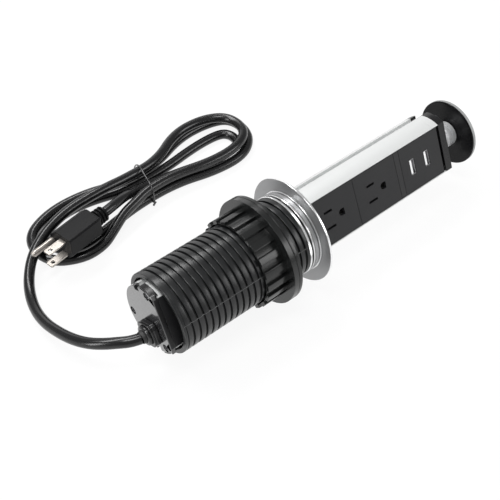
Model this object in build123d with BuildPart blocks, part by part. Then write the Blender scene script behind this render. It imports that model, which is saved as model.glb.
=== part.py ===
"""Pull-up desk grommet socket, lying on its side with the tower pulled out.

Millimetres. +X runs along the tower towards its cap, +Z is up, and the part lies on the rims of
its two flanges, on the plane Z = 0. The origin is on that plane, under the middle of the length.
"""
from math import atan2, cos, degrees, pi, radians, sin, sqrt, tan
import os

from build123d import *

os.makedirs("parts", exist_ok=True)

# Sizes across the axis
tower_radius = 25.5
sleeve_play = 1.8
sleeve_wall = 3.3
flange_overhang = 10.4
panel_face_height = 16.2
rail_wall = 1.6
cap_overhang = 1.0
stem_radius = 10.0
cord_diameter = 8.0
panel_tilt = 24.6

# Stations along the axis, from the underside of the bezel flange
bezel_flange_top = 2.0
bezel_neck_length = 9.3
sleeve_end = -118.1
rail_show = 3.0
finger_room = 14.4

# Clearances
sliding_gap = 0.35
seat_gap = 0.1
washer_gap = 0.5
thread_gap = 1.2

# Bezel
bezel_neck_step = 0.4
bezel_groove_depth = 0.8
bezel_groove_start = -6.0
bezel_groove_end = -7.6
cap_recess_gap = 0.6
cap_recess_depth = 5.0
spigot_wall = 1.1
rim_bevel = 0.6

# Collar, keys and pads
collar_length = 12.0
channel_depth = 3.0
channel_width = 5.4
channel_offset = -2.0
channel_wall = 1.5
pad_width = 6.0
pad_length = 8.0
pad_thickness = 1.0
pad_count = 3
pad_first_angle = -145
pad_spread = 110

# Clamp washer and nut
desk_thickness_shown = 25.9
washer_thickness = 2.8
slip_gap = 0.3
nut_flange_thickness = 4.1
nut_grip_length = 18.0
nut_wall = 1.0
nut_lobe_height = 1.7
nut_lobes = 20
nut_lobe_share = 0.6
nut_lobe_setback = 1.0

# Panels on the open side of the rail
panel_thickness = 2.5
panel_side_gap = 0.25
panel_side_land = 0.69
panel_ledge = 2.7
seam = 0.1
outlet_start = 8.5
outlet_count = 2
outlet_length = 42.2
slot_from_start = 15.2
slot_spacing = 12.7
slot_width = 1.8
hot_slot_length = 7.5
neutral_slot_length = 8.7
ground_from_slots = 11.9
ground_hole_width = 5.4
ground_hole_length = 5.2
spacer_length = 5.1
usb_face_length = 41.8
usb_port_from_start = 11.3
usb_port_pitch = 15.5
usb_port_width = 12.5
usb_port_height = 5.0
usb_shell_wall = 0.4
usb_shell_depth = 13.0
usb_tongue_width = 11.1
usb_tongue_height = 1.9
usb_tongue_depth = 8.0

# Receptacle bodies and their metal
body_depth = 20.0
body_half_width = 13.0
body_end_gap = 1.0
busbar_thickness = 1.0
busbar_width = 6.0
busbar_depth = 9.0
core_radius = 1.4

# End block and caps
end_block_length = 8.5
end_block_bevel = 2.4
plug_in_length = 5.0
cap_flange_length = 4.0
lug_overlap = 2.1
lug_width = 7.0
notch_width = 5.0
notch_depth = 3.2
screw_radius = 2.6
screw_head_height = 1.2

# Rail and end block details
rear_port_inset = 4.1
side_port_inset = 3.27
side_port_angle = 22.8
port_radius = 3.0
port_hole_radius = 1.3
rear_setback = 6.5
rear_step_height = -4.7
rear_block_length = 5.2
boss_wall = 2.5
panel_edge_break = 0.25
top_groove = 2.3
usb_shell_recess = 0.4
usb_tongue_gap = 0.3
usb_tongue_setback = 0.5
board_width = 24.0
board_thickness = 1.6
board_margin = 0.4
blade_room = 1.8
leaf_length = 9.0
leaf_height = 12.0

# Screws, lugs, gland and plunger details
screw_shank_radius = 1.25
screw_hole_radius = 1.6
screw_seat_depth = 2.2
screw_grip = 9.0
lug_middle = 25.0
lug_thickness = 3.0
floor_thickness = 1.5
gland_place = (-9.5, -1.0)
gland_base_width = 17.0
gland_base_corner = 2.5
gland_dome_bevel = 1.4
gland_groove_end = 0.6
gland_groove_depth = 0.9
bush_wall = 2.0
bush_nose_wall = 0.8
bush_nose_length = 1.2
bush_lip = 2.3
bush_inside = 3.0
core_spread = 1.15
core_straight = 10.0
core_drift = 16.0
core_bend = 8.0
core_sides = 6
stem_line_inset = 3.9
stem_line_width = 0.8
cap_screw_head = 3.2
cap_screw_shank = 1.6
cap_screw_head_height = 2.0
cap_screw_depth = 10.0

# Plunger
plunger_travel = 12.4
stem_flange_step = 1.5
stem_flange_thickness = 1.4
stem_groove_depth = 0.6
cap_dish_depth = 0.9
cap_edge_thickness = 1.5
trim_thickness = 2.2

# Gland
gland_base_length = 5.5
gland_dome_wall = 1.6
gland_dome_length = 2.3

# Cord: the free stretch as points chosen by hand, in the part's own frame
cord_exit_run = 7.6
arc_share = 0.45
cord_points = [
    (-169.2, -0.4, 32.4),
    (-177.0, 5.4, 31.4),
    (-182.6, 14.4, 28.8),
    (-185.8, 26.8, 24.4),
    (-187.2, 42.0, 17.8),
    (-187.4, 57.5, 10.8),
    (-186.2, 73.5, 5.2),
    (-182.0, 88.6, 5.8),
    (-175.0, 101.3, 14.0),
    (-166.6, 109.2, 22.6),
    (-156.2, 117.0, 29.2),
    (-142.5, 125.2, 31.6),
    (-126.5, 131.6, 30.0),
    (-109.0, 136.4, 25.8),
    (-91.0, 140.0, 20.4),
    (-74.0, 143.2, 16.5),
]

# Hank: one value for each loop, from the upper loop down
hank_loops = 3
cord_sides = 10
layer_gap = 1.1
waist_x = -48.0
waist_lift = 1.2
waist_far = (146.5, 152.0, 143.0)
waist_near = (124.5, 124.0, 133.7)
right_middle = 142.0
right_tips = (51.0, 61.0, 49.0)
right_half = (23.5, 26.0, 14.3)
right_shoulder = (34.0, 35.0, 27.0)
left_middle = 136.0
left_tips = (-154.0, -143.5)
left_half = (32.8, 22.9)
left_near_shoulder = (34.0, 27.5)
left_far_shoulder = (43.0, 28.5)
crossing_point = (-78.0, 114.5, 13.1)
crossing_angle = 200.0
straight_angle = 0.01
gap_step = 1.5

# Plug and tie
plug_root = Vector(-141.0, 109.4, 20.0)
plug_turn = 190.2
plug_length = 32.0
plug_half_height = 11.5
plug_far_side = 14.5
plug_near_side = 8.5
plug_bevel = 7.0
plug_edge = 1.2
plug_shoulder = 2.5
relief_length = 12.0
relief_offset = 3.0
relief_wall = 1.0
rib_height = 1.4
relief_ribs = 3
rib_share = 0.5
blade_width = 6.35
blade_thickness = 1.5
blade_length = 16.0
blade_root = 6.0
blade_tip_bevel = 0.5
blade_hole_place = 12.2
blade_hole_radius = 1.6
pin_offset = 11.9
pin_radius = 2.4
pin_length = 20.5
pin_tip_round = 2.0
tie_width = 2.4
tie_thickness = 0.6
tie_gap = 0.4
tie_corner = 4.4

sleeve_bore = tower_radius + sleeve_play
sleeve_radius = sleeve_bore + sleeve_wall
flange_radius = sleeve_radius + flange_overhang
cap_radius = tower_radius + cap_overhang
panel_half_width = sqrt(tower_radius**2 - panel_face_height**2) - panel_side_land
axis_height = flange_radius
spacer_start = outlet_start + outlet_count * (outlet_length + seam)
usb_start = spacer_start + spacer_length + seam
usb_end = usb_start + usb_face_length
tower_top = usb_end + top_groove
tower_bottom = sleeve_end - rail_show
cap_underside = tower_top + end_block_length + finger_room
stem_line = cap_underside - stem_line_inset
base_face = tower_bottom - cap_flange_length
gland_mouth = base_face - gland_base_length - gland_dome_length
cord_mouth = gland_mouth - bush_lip
cap_top = cap_underside + cap_edge_thickness + trim_thickness
shift = -(cord_mouth + cap_top) / 2

up = (0, sin(radians(panel_tilt)), cos(radians(panel_tilt)))
out = (0, -cos(radians(panel_tilt)), sin(radians(panel_tilt)))
centre = (shift, 0, axis_height)
spin_axis = Axis(centre, (1, 0, 0))
lengthwise = Plane(origin=centre, x_dir=(1, 0, 0), z_dir=(0, -up[1], -up[2]))
panel_plane = Plane(origin=centre, x_dir=(1, 0, 0), z_dir=out).offset(panel_face_height)


def across(station):
    """Plane square to the axis: local x runs up the panel and local y out of it."""
    return Plane(origin=(shift + station, 0, axis_height), x_dir=up, z_dir=(1, 0, 0))


def turned(*points):
    """Face on the lengthwise plane from (station, radius) points, ready to revolve."""
    with BuildSketch(lengthwise) as profile:
        with BuildLine():
            Polyline(*points, close=True)
        make_face()
    return profile.sketch


def flatted(station, radius, face_height):
    """Circle across the axis with its panel side cut flat."""
    half_chord = sqrt(radius**2 - face_height**2)
    with BuildSketch(across(station)) as section:
        with BuildLine():
            ThreePointArc((half_chord, face_height), (0, -radius), (-half_chord, face_height))
            Line((-half_chord, face_height), (half_chord, face_height))
        make_face()
    return section.sketch


def save(part, name):
    """Label a finished piece and write it."""
    part.label = name
    export_step(part, f"parts/{name}.step")


# Bezel ring: flange, stepped neck and the recess that takes the cap
bezel_neck_radius = sleeve_radius + bezel_neck_step
spigot_radius = sleeve_bore + spigot_wall
cap_recess_radius = cap_radius + cap_recess_gap
spigot_top = bezel_flange_top - cap_recess_depth - seat_gap
with BuildPart() as bezel_ring:
    revolve(
        turned(
            (-bezel_neck_length, spigot_radius + seat_gap),
            (-bezel_neck_length, bezel_neck_radius),
            (bezel_groove_end, bezel_neck_radius),
            (bezel_groove_end, bezel_neck_radius - bezel_groove_depth),
            (bezel_groove_start, bezel_neck_radius - bezel_groove_depth),
            (bezel_groove_start, bezel_neck_radius),
            (0, bezel_neck_radius),
            (0, flange_radius),
            (bezel_flange_top - rim_bevel, flange_radius),
            (bezel_flange_top, flange_radius - rim_bevel),
            (bezel_flange_top, cap_recess_radius),
            (bezel_flange_top - cap_recess_depth, cap_recess_radius),
            (bezel_flange_top - cap_recess_depth, spigot_radius + seat_gap),
        ),
        axis=spin_axis,
    )
save(bezel_ring.part, "bezel_ring")

# Sleeve: the long tube whose thread carries the clamp nut, with a spigot inside the bezel
sleeve_shoulder = -bezel_neck_length - seat_gap
with BuildPart() as guide_sleeve:
    revolve(
        turned(
            (sleeve_end, sleeve_bore),
            (sleeve_end, sleeve_radius - rim_bevel),
            (sleeve_end + rim_bevel, sleeve_radius),
            (sleeve_shoulder, sleeve_radius),
            (sleeve_shoulder, spigot_radius),
            (spigot_top, spigot_radius),
            (spigot_top, sleeve_bore),
        ),
        axis=spin_axis,
    )
save(guide_sleeve.part, "guide_sleeve")

# Guide collar: a flatted bore with two keys that keep the tower from turning
collar_radius = sleeve_bore - seat_gap
collar_base = spigot_top - collar_length
channel_floor = tower_radius - channel_depth
key_tip = channel_floor + sliding_gap
key_width = channel_width - 2 * sliding_gap
pad_middle = tower_radius + seat_gap + pad_thickness / 2
pad_base = collar_base + (collar_length - pad_length) / 2
with BuildPart() as guide_collar:
    with BuildSketch(across(collar_base)):
        Circle(collar_radius)
    extrude(amount=collar_length)
    bore_radius = tower_radius + sliding_gap
    bore = flatted(collar_base, bore_radius, panel_face_height + sliding_gap)
    extrude(bore, amount=collar_length, mode=Mode.SUBTRACT)
    with BuildSketch(across(collar_base)):
        for side in (-1, 1):
            with Locations((side * (key_tip + bore_radius + seat_gap) / 2, channel_offset)):
                Rectangle(bore_radius + seat_gap - key_tip, key_width)
    extrude(amount=collar_length)
    with BuildSketch(across(pad_base - seat_gap)):
        with PolarLocations(pad_middle, pad_count, pad_first_angle, pad_spread, endpoint=True):
            Rectangle(pad_thickness + 2 * seat_gap, pad_width + 2 * seat_gap)
    extrude(amount=pad_length + 2 * seat_gap, mode=Mode.SUBTRACT)
save(guide_collar.part, "guide_collar")

# Friction pads: they sit in the collar's pockets and press on the tower
with BuildPart() as friction_pads:
    with BuildSketch(across(pad_base)):
        with PolarLocations(pad_middle, pad_count, pad_first_angle, pad_spread, endpoint=True):
            Rectangle(pad_thickness, pad_width)
    extrude(amount=pad_length)
save(friction_pads.part, "friction_pads")

# Clamp washer and lobed clamp nut on the sleeve
washer_bore = sleeve_radius + washer_gap
washer_top = -desk_thickness_shown
with BuildPart() as clamp_washer:
    revolve(
        turned(
            (washer_top, washer_bore),
            (washer_top, flange_radius),
            (washer_top - washer_thickness + rim_bevel, flange_radius),
            (washer_top - washer_thickness, flange_radius - rim_bevel),
            (washer_top - washer_thickness, washer_bore),
        ),
        axis=spin_axis,
    )
save(clamp_washer.part, "clamp_washer")

thread_radius = sleeve_radius + thread_gap
nut_grip_radius = thread_radius + nut_wall
nut_lobe_radius = nut_grip_radius + nut_lobe_height
nut_top = washer_top - washer_thickness - slip_gap
nut_flange_back = nut_top - nut_flange_thickness
nut_end = nut_flange_back - nut_grip_length
lobe_pitch = 360 / nut_lobes
hollow_width = 2 * nut_lobe_radius * sin(radians(lobe_pitch * (1 - nut_lobe_share) / 2))
with BuildPart() as clamp_nut:
    revolve(
        turned(
            (nut_end, thread_radius),
            (nut_end, nut_grip_radius),
            (nut_end + nut_lobe_setback, nut_lobe_radius),
            (nut_flange_back, nut_lobe_radius),
            (nut_flange_back, flange_radius),
            (nut_top, flange_radius),
            (nut_top, thread_radius),
        ),
        axis=spin_axis,
    )
    with BuildSketch(across(nut_end)):
        with PolarLocations(nut_grip_radius + hollow_width / 2, nut_lobes):
            Rectangle(hollow_width, hollow_width)
    extrude(amount=nut_grip_length, mode=Mode.SUBTRACT)
save(clamp_nut.part, "clamp_nut")

# Rail: extruded channel, open at the panels, with side channels and three screw ports
tower_length = tower_top - tower_bottom
ledge_height = panel_face_height - panel_thickness - seat_gap
cavity_radius = tower_radius - rail_wall
pocket_half_width = panel_half_width + panel_side_gap
throat_half_width = panel_half_width - panel_ledge
side_port = tower_radius - side_port_inset
port_side = side_port * cos(radians(side_port_angle))
port_height = side_port * sin(radians(side_port_angle))
port_places = ((0, rear_port_inset - tower_radius), (port_side, port_height), (-port_side, port_height))
with BuildPart() as tower_rail:
    extrude(flatted(tower_bottom, tower_radius, panel_face_height), amount=tower_length)
    cavity = flatted(tower_bottom, cavity_radius, ledge_height - rail_wall)
    extrude(cavity, amount=tower_length, mode=Mode.SUBTRACT)
    with BuildSketch(across(tower_bottom)) as inside_walls:
        for side in (-1, 1):
            with Locations((side * (channel_floor + channel_depth / 2 - channel_wall), channel_offset)):
                Rectangle(channel_depth, channel_width + 2 * channel_wall)
        with Locations(*port_places):
            Circle(port_radius)
    extrude(amount=tower_length)
    with BuildSketch(across(tower_bottom)) as cuts:
        for side in (-1, 1):
            with Locations((side * (channel_floor + channel_depth), channel_offset)):
                Rectangle(2 * channel_depth, channel_width)
        with Locations(*port_places):
            Circle(port_hole_radius)
        with Locations((0, ledge_height + panel_thickness)):
            Rectangle(2 * pocket_half_width, 2 * panel_thickness)
        with Locations((0, ledge_height)):
            Rectangle(2 * throat_half_width, 2 * rail_wall + seat_gap)
    extrude(amount=tower_length, mode=Mode.SUBTRACT)
    with BuildSketch(across(tower_top - rear_setback)):
        with Locations((0, rear_step_height - tower_radius)):
            Rectangle(2 * tower_radius, 2 * tower_radius)
    extrude(amount=rear_setback, mode=Mode.SUBTRACT)
save(tower_rail.part, "tower_rail")


def face_plate(start, length):
    """Flat panel piece in the rail's pocket, from a station along the tower."""
    with BuildPart() as plate:
        with BuildSketch(panel_plane.offset(-panel_thickness)):
            with Locations((start + length / 2, 0)):
                Rectangle(length, 2 * panel_half_width)
        extrude(amount=panel_thickness)
        long_edges = plate.faces().sort_by(Axis(centre, out))[-1].edges()
        chamfer(long_edges, panel_edge_break)
    return plate.part


def outlet_holes(start):
    """Blade slots and ground hole of one outlet, as a sketch on the panel."""
    slots = start + slot_from_start
    ground = slots + ground_from_slots
    with BuildSketch(panel_plane) as holes:
        with Locations((slots, slot_spacing / 2)):
            Rectangle(hot_slot_length, slot_width)
        with Locations((slots, -slot_spacing / 2)):
            Rectangle(neutral_slot_length, slot_width)
        with Locations((ground, 0)):
            Circle(ground_hole_width / 2)
        with Locations((ground + ground_hole_length / 4, 0)):
            Rectangle(ground_hole_length / 2, ground_hole_width)
    return holes.sketch


# Panel pieces: blank, two outlets, spacer and charger face
outlet_starts = [outlet_start + index * (outlet_length + seam) for index in range(outlet_count)]
outlet_names = ("outlet_face_lower", "outlet_face_upper")
save(face_plate(tower_bottom, outlet_start - seam - tower_bottom), "blank_panel")
for start, name in zip(outlet_starts, outlet_names):
    with BuildPart() as outlet_face:
        add(face_plate(start, outlet_length))
        extrude(outlet_holes(start), amount=-panel_thickness, mode=Mode.SUBTRACT)
    save(outlet_face.part, name)

save(face_plate(spacer_start, spacer_length), "spacer_strip")
port_stations = [usb_start + usb_port_from_start + index * usb_port_pitch for index in range(2)]
usb_places = [(station, 0) for station in port_stations]
with BuildPart() as usb_face:
    add(face_plate(usb_start, usb_face_length))
    with BuildSketch(panel_plane):
        with Locations(*usb_places):
            Rectangle(usb_port_height, usb_port_width)
    extrude(amount=-panel_thickness, mode=Mode.SUBTRACT)
save(usb_face.part, "usb_face")

# Charger sockets: metal shells with a plastic tongue each, on one board
shell_height = usb_port_height - 2 * seat_gap
shell_width = usb_port_width - 2 * seat_gap
with BuildPart() as usb_shells:
    with BuildSketch(panel_plane.offset(-usb_shell_recess)):
        with Locations(*usb_places):
            Rectangle(shell_height, shell_width)
            Rectangle(
                shell_height - 2 * usb_shell_wall,
                shell_width - 2 * usb_shell_wall,
                mode=Mode.SUBTRACT,
            )
    extrude(amount=-usb_shell_depth)
save(usb_shells.part, "usb_shells")

tongue_offset = usb_tongue_height / 2 + usb_shell_wall + usb_tongue_gap - shell_height / 2
back_height = shell_height - 2 * (usb_shell_wall + seat_gap)
back_width = shell_width - 2 * (usb_shell_wall + seat_gap)
tongue_places = [(station + tongue_offset, 0) for station in port_stations]
with BuildPart() as usb_tongues:
    with BuildSketch(panel_plane.offset(-usb_shell_recess - usb_shell_depth)):
        with Locations(*usb_places):
            Rectangle(back_height, back_width)
    extrude(amount=usb_shell_depth - usb_tongue_depth)
    with BuildSketch(panel_plane.offset(-usb_shell_recess - usb_tongue_depth)):
        with Locations(*tongue_places):
            Rectangle(usb_tongue_height, usb_tongue_width)
    extrude(amount=usb_tongue_depth - usb_tongue_setback)
save(usb_tongues.part, "usb_tongues")

board_top = panel_face_height - usb_shell_recess - usb_shell_depth
stem_rest = tower_top - seat_gap
stem_pressed = stem_rest - stem_flange_thickness - plunger_travel
board_end = stem_pressed - board_margin
with BuildPart() as usb_board:
    with BuildSketch(panel_plane.offset(board_top - panel_face_height)):
        with Locations(((usb_start + board_end) / 2, 0)):
            Rectangle(board_end - usb_start, board_width)
    extrude(amount=-board_thickness)
save(usb_board.part, "usb_board")

# Receptacle bodies: pockets behind each slot for the contact leaves of the busbars
body_top = panel_face_height - panel_thickness
bar_rows = {"line_busbar": slot_spacing / 2, "ground_busbar": 0, "neutral_busbar": -slot_spacing / 2}
leaf_offset = (blade_room + busbar_thickness) / 2
ground_leaf_offset = (ground_hole_width + busbar_thickness) / 2


def contact_places(row, start, offset):
    """Centres of the two leaves that grip one blade or pin."""
    station = start + slot_from_start + (ground_from_slots if row == 0 else 0)
    return [(station, row - offset), (station, row + offset)]


body_names = ("outlet_body_lower", "outlet_body_upper")
for start, name in zip(outlet_starts, body_names):
    with BuildPart() as outlet_body:
        with BuildSketch(panel_plane.offset(-panel_thickness)):
            with Locations((start + outlet_length / 2, 0)):
                Rectangle(outlet_length - 2 * body_end_gap, 2 * body_half_width)
        extrude(amount=-body_depth)
        with BuildSketch(panel_plane.offset(-panel_thickness)):
            for row in bar_rows.values():
                station = start + slot_from_start + (ground_from_slots if row == 0 else 0)
                offset = ground_leaf_offset if row == 0 else leaf_offset
                with Locations((station, row)):
                    Rectangle(
                        leaf_length + 2 * seat_gap,
                        2 * (offset + busbar_thickness / 2 + seat_gap),
                    )
        extrude(amount=-body_depth, mode=Mode.SUBTRACT)
    save(outlet_body.part, name)

# Busbars: one strip each behind the bodies, with a pair of leaves standing at every outlet
bar_front = body_top - body_depth - seat_gap
bar_start = outlet_start + body_end_gap
bar_end = outlet_starts[-1] + outlet_length - body_end_gap
for name, row in bar_rows.items():
    offset = ground_leaf_offset if row == 0 else leaf_offset
    with BuildPart() as busbar:
        with BuildSketch(panel_plane.offset(bar_front - panel_face_height)):
            with Locations(((bar_start + bar_end) / 2, row)):
                Rectangle(bar_end - bar_start, busbar_width)
        extrude(amount=-busbar_thickness)
        with BuildSketch(panel_plane.offset(bar_front - panel_face_height)):
            for start in outlet_starts:
                with Locations(*contact_places(row, start, offset)):
                    Rectangle(leaf_length, busbar_thickness)
        extrude(amount=leaf_height)
    save(busbar.part, name)

# End block over the top of the rail, stepped down behind, with a boss round the stem's bore
stem_flange_radius = stem_radius + stem_flange_step
block_top = tower_top + end_block_length
stem_bore = stem_radius + seat_gap
rear_base = tower_top - rear_setback + seat_gap
plug_in_radius = channel_floor - channel_wall - seat_gap
plug_in_height = ledge_height - rail_wall - seat_gap
front_ports = port_places[1:]
rear_port = port_places[0]
with BuildPart() as end_block:
    extrude(flatted(tower_top, tower_radius, panel_face_height), amount=end_block_length)
    chamfer(end_block.faces().sort_by(Axis.X)[-1].edges(), end_block_bevel)
    with BuildSketch(across(tower_top)):
        with Locations((0, rear_step_height - tower_radius)):
            Rectangle(2 * tower_radius, 2 * tower_radius)
    extrude(amount=end_block_length, mode=Mode.SUBTRACT)
    with BuildSketch(across(tower_top)):
        Circle(stem_bore + boss_wall)
    extrude(amount=end_block_length)
    with BuildSketch(across(rear_base)):
        Circle(tower_radius)
        with Locations((0, rear_step_height + tower_radius - seat_gap)):
            Rectangle(2 * tower_radius, 2 * tower_radius, mode=Mode.SUBTRACT)
    extrude(amount=rear_block_length)
    with BuildSketch(across(tower_top - plug_in_length)):
        Circle(plug_in_radius)
        with Locations((0, plug_in_height + tower_radius)):
            Rectangle(2 * tower_radius, 2 * tower_radius, mode=Mode.SUBTRACT)
        with Locations(*port_places):
            Circle(port_radius + seat_gap, mode=Mode.SUBTRACT)
    extrude(amount=plug_in_length)
    with BuildSketch(across(rear_base)):
        Circle(stem_flange_radius + sliding_gap)
    extrude(amount=rear_setback - seat_gap, mode=Mode.SUBTRACT)
    with BuildSketch(across(tower_top)):
        Circle(stem_bore)
        with Locations(*front_ports):
            Circle(screw_hole_radius)
        for side in (-1, 1):
            with Locations((side * (channel_floor + channel_depth), channel_offset)):
                Rectangle(2 * channel_depth, channel_width)
    extrude(amount=end_block_length, mode=Mode.SUBTRACT)
    with BuildSketch(across(block_top - screw_seat_depth)):
        with Locations(*front_ports):
            Circle(screw_radius + seat_gap)
    extrude(amount=screw_seat_depth, mode=Mode.SUBTRACT)
    with BuildSketch(across(rear_base)):
        with Locations(rear_port):
            Circle(screw_hole_radius)
    extrude(amount=rear_block_length, mode=Mode.SUBTRACT)
save(end_block.part, "end_block")


def screws(places, seat, direction, through):
    """Pan-head screws that stand in the rail's ports; direction is +1 towards the cap."""
    with BuildPart() as group:
        with BuildSketch(across(seat)):
            with Locations(*places):
                Circle(screw_radius)
        extrude(amount=direction * screw_head_height)
        with BuildSketch(across(seat)):
            with Locations(*places):
                Circle(screw_shank_radius)
        extrude(amount=-direction * (through + screw_grip))
    return group.part


with BuildPart() as top_screws:
    add(screws(front_ports, block_top - screw_seat_depth, 1, end_block_length - screw_seat_depth))
    add(screws([rear_port], rear_base + rear_block_length, 1, rear_block_length))
save(top_screws.part, "top_screws")

# Bottom cap: closes the rail, carries the gland and stops the tower on the end of the sleeve
lug_reach = sleeve_bore + lug_overlap
bush_radius = cord_diameter / 2 + bush_wall
corner_angle = degrees(atan2(panel_face_height, sqrt(tower_radius**2 - panel_face_height**2)))
with BuildPart() as bottom_cap:
    extrude(flatted(base_face, tower_radius, panel_face_height), amount=cap_flange_length)
    with BuildSketch(across(base_face)):
        with PolarLocations(lug_middle, 2, corner_angle, 180 - 2 * corner_angle, endpoint=True):
            Rectangle(2 * (lug_reach - lug_middle), lug_width)
        with Locations((0, panel_face_height + tower_radius)):
            Rectangle(4 * tower_radius, 2 * tower_radius, mode=Mode.SUBTRACT)
    extrude(amount=lug_thickness)
    with BuildSketch(across(tower_bottom)):
        Circle(plug_in_radius)
        with Locations((0, plug_in_height + tower_radius)):
            Rectangle(2 * tower_radius, 2 * tower_radius, mode=Mode.SUBTRACT)
        with Locations(*port_places):
            Circle(port_radius + seat_gap, mode=Mode.SUBTRACT)
    extrude(amount=plug_in_length)
    with BuildSketch(across(base_face)):
        for side in (-1, 1):
            with Locations((side * (tower_radius + notch_depth / 2 - notch_depth), channel_offset)):
                Rectangle(notch_depth + seam, notch_width)
        with Locations(*port_places):
            Circle(screw_hole_radius)
    extrude(amount=cap_flange_length, mode=Mode.SUBTRACT)
    with BuildSketch(across(base_face)):
        with Locations(gland_place):
            Circle(bush_radius + seat_gap)
    extrude(amount=cap_flange_length + plug_in_length, mode=Mode.SUBTRACT)
    with BuildSketch(across(tower_bottom + floor_thickness)):
        Circle(plug_in_radius - floor_thickness)
        with Locations((0, plug_in_height + tower_radius - floor_thickness)):
            Rectangle(2 * tower_radius, 2 * tower_radius, mode=Mode.SUBTRACT)
        with Locations(*port_places):
            Circle(port_radius + seat_gap + floor_thickness, mode=Mode.SUBTRACT)
    extrude(amount=plug_in_length, mode=Mode.SUBTRACT)
save(bottom_cap.part, "bottom_cap")
bottom_screws = screws(port_places, base_face, -1, cap_flange_length)
save(bottom_screws, "bottom_screws")

# Cable gland: square base, low nut with a bevelled rim, and the bush that holds the cord
gland_seat = base_face - gland_base_length
gland_dome_radius = bush_radius + gland_dome_wall
bush_nose_radius = cord_diameter / 2 + bush_nose_wall
mouth_plane = across(cord_mouth)
gland_centre = mouth_plane.from_local_coords(gland_place)
gland_plane = Plane(
    origin=(shift, gland_centre.Y, gland_centre.Z), x_dir=(1, 0, 0), z_dir=(0, -up[1], -up[2])
)
gland_axis = Axis(gland_plane.origin, (1, 0, 0))
with BuildPart() as gland_base:
    with BuildSketch(across(gland_seat)):
        with Locations(gland_place):
            RectangleRounded(gland_base_width, gland_base_width, gland_base_corner)
            Circle(bush_radius + seat_gap, mode=Mode.SUBTRACT)
    extrude(amount=gland_base_length)
save(gland_base.part, "gland_base")

with BuildPart() as gland_nut:
    with BuildSketch(gland_plane):
        with BuildLine():
            Polyline(
                (gland_mouth, bush_nose_radius + seat_gap),
                (gland_mouth, gland_dome_radius - gland_dome_bevel),
            )
            RadiusArc(
                (gland_mouth, gland_dome_radius - gland_dome_bevel),
                (gland_mouth + gland_dome_bevel, gland_dome_radius),
                gland_dome_bevel,
            )
            Polyline(
                (gland_mouth + gland_dome_bevel, gland_dome_radius),
                (gland_seat - gland_groove_end, gland_dome_radius),
                (gland_seat - gland_groove_end, gland_dome_radius - gland_groove_depth),
                (gland_seat, gland_dome_radius - gland_groove_depth),
                (gland_seat, bush_radius + seat_gap),
                (gland_mouth + bush_nose_length, bush_radius + seat_gap),
                (gland_mouth + bush_nose_length, bush_nose_radius + seat_gap),
                (gland_mouth, bush_nose_radius + seat_gap),
            )
        make_face()
    revolve(axis=gland_axis)
save(gland_nut.part, "gland_nut")

with BuildPart() as gland_bush:
    with BuildSketch(gland_plane):
        with BuildLine():
            Polyline(
                (cord_mouth, 0),
                (cord_mouth, bush_nose_radius),
                (gland_mouth + bush_nose_length + seat_gap, bush_nose_radius),
                (gland_mouth + bush_nose_length + seat_gap, bush_radius),
                (tower_bottom + bush_inside, bush_radius),
                (tower_bottom + bush_inside, 0),
                close=True,
            )
        make_face()
    revolve(axis=gland_axis)
save(gland_bush.part, "gland_bush")

# Cores: three insulated wires from the bush to the ends of the busbars
bush_end = tower_bottom + bush_inside
bar_level = bar_front - busbar_thickness / 2
with BuildPart() as core_wires:
    for index, row in enumerate(bar_rows.values()):
        spread = (1 - index) * 2 * core_radius * core_spread
        route = [
            (bush_end, gland_place[0] + spread, gland_place[1]),
            (bush_end + core_straight, gland_place[0] + spread, gland_place[1]),
            (bush_end + core_straight + core_drift, row, bar_level),
            (bar_start, row, bar_level),
        ]
        points = [across(station).from_local_coords((u, v)) for station, u, v in route]
        with BuildLine() as core_path:
            FilletPolyline(*points, radius=core_bend)
        with BuildSketch(Plane(origin=points[0], z_dir=(1, 0, 0))):
            RegularPolygon(core_radius, core_sides)
        sweep(path=core_path.wire())
save(core_wires.part, "core_wires")

# Cap plunger: stem with its catch flange, dished disc, metal trim and the screw that joins them
disc_top = cap_underside + cap_edge_thickness
screw_seat = cap_underside - cap_screw_depth
with BuildPart() as cap_stem:
    revolve(
        turned(
            (stem_rest - stem_flange_thickness, cap_screw_head + seat_gap),
            (stem_rest - stem_flange_thickness, stem_flange_radius),
            (stem_rest, stem_flange_radius),
            (stem_rest, stem_radius),
            (stem_line, stem_radius),
            (stem_line, stem_radius - stem_groove_depth),
            (stem_line + stem_line_width, stem_radius - stem_groove_depth),
            (stem_line + stem_line_width, stem_radius),
            (cap_underside, stem_radius),
            (cap_underside, cap_screw_shank + seat_gap),
            (screw_seat, cap_screw_shank + seat_gap),
            (screw_seat, cap_screw_head + seat_gap),
        ),
        axis=spin_axis,
    )
save(cap_stem.part, "cap_stem")

with BuildPart() as cap_disc:
    revolve(
        turned(
            (cap_underside, cap_screw_shank + seat_gap),
            (cap_underside, stem_radius),
            (cap_underside + cap_dish_depth, stem_radius + cap_dish_depth),
            (cap_underside, cap_radius - rim_bevel),
            (cap_underside + rim_bevel, cap_radius),
            (disc_top, cap_radius),
            (disc_top, cap_screw_shank + seat_gap),
        ),
        axis=spin_axis,
    )
save(cap_disc.part, "cap_disc")

screw_end = cap_top - trim_thickness / 2
with BuildPart() as cap_trim:
    revolve(
        turned(
            (disc_top, cap_screw_shank + seat_gap),
            (disc_top, cap_radius),
            (cap_top - rim_bevel, cap_radius),
            (cap_top, cap_radius - rim_bevel),
            (cap_top, 0),
            (screw_end, 0),
            (screw_end, cap_screw_shank + seat_gap),
        ),
        axis=spin_axis,
    )
save(cap_trim.part, "cap_trim")

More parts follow.
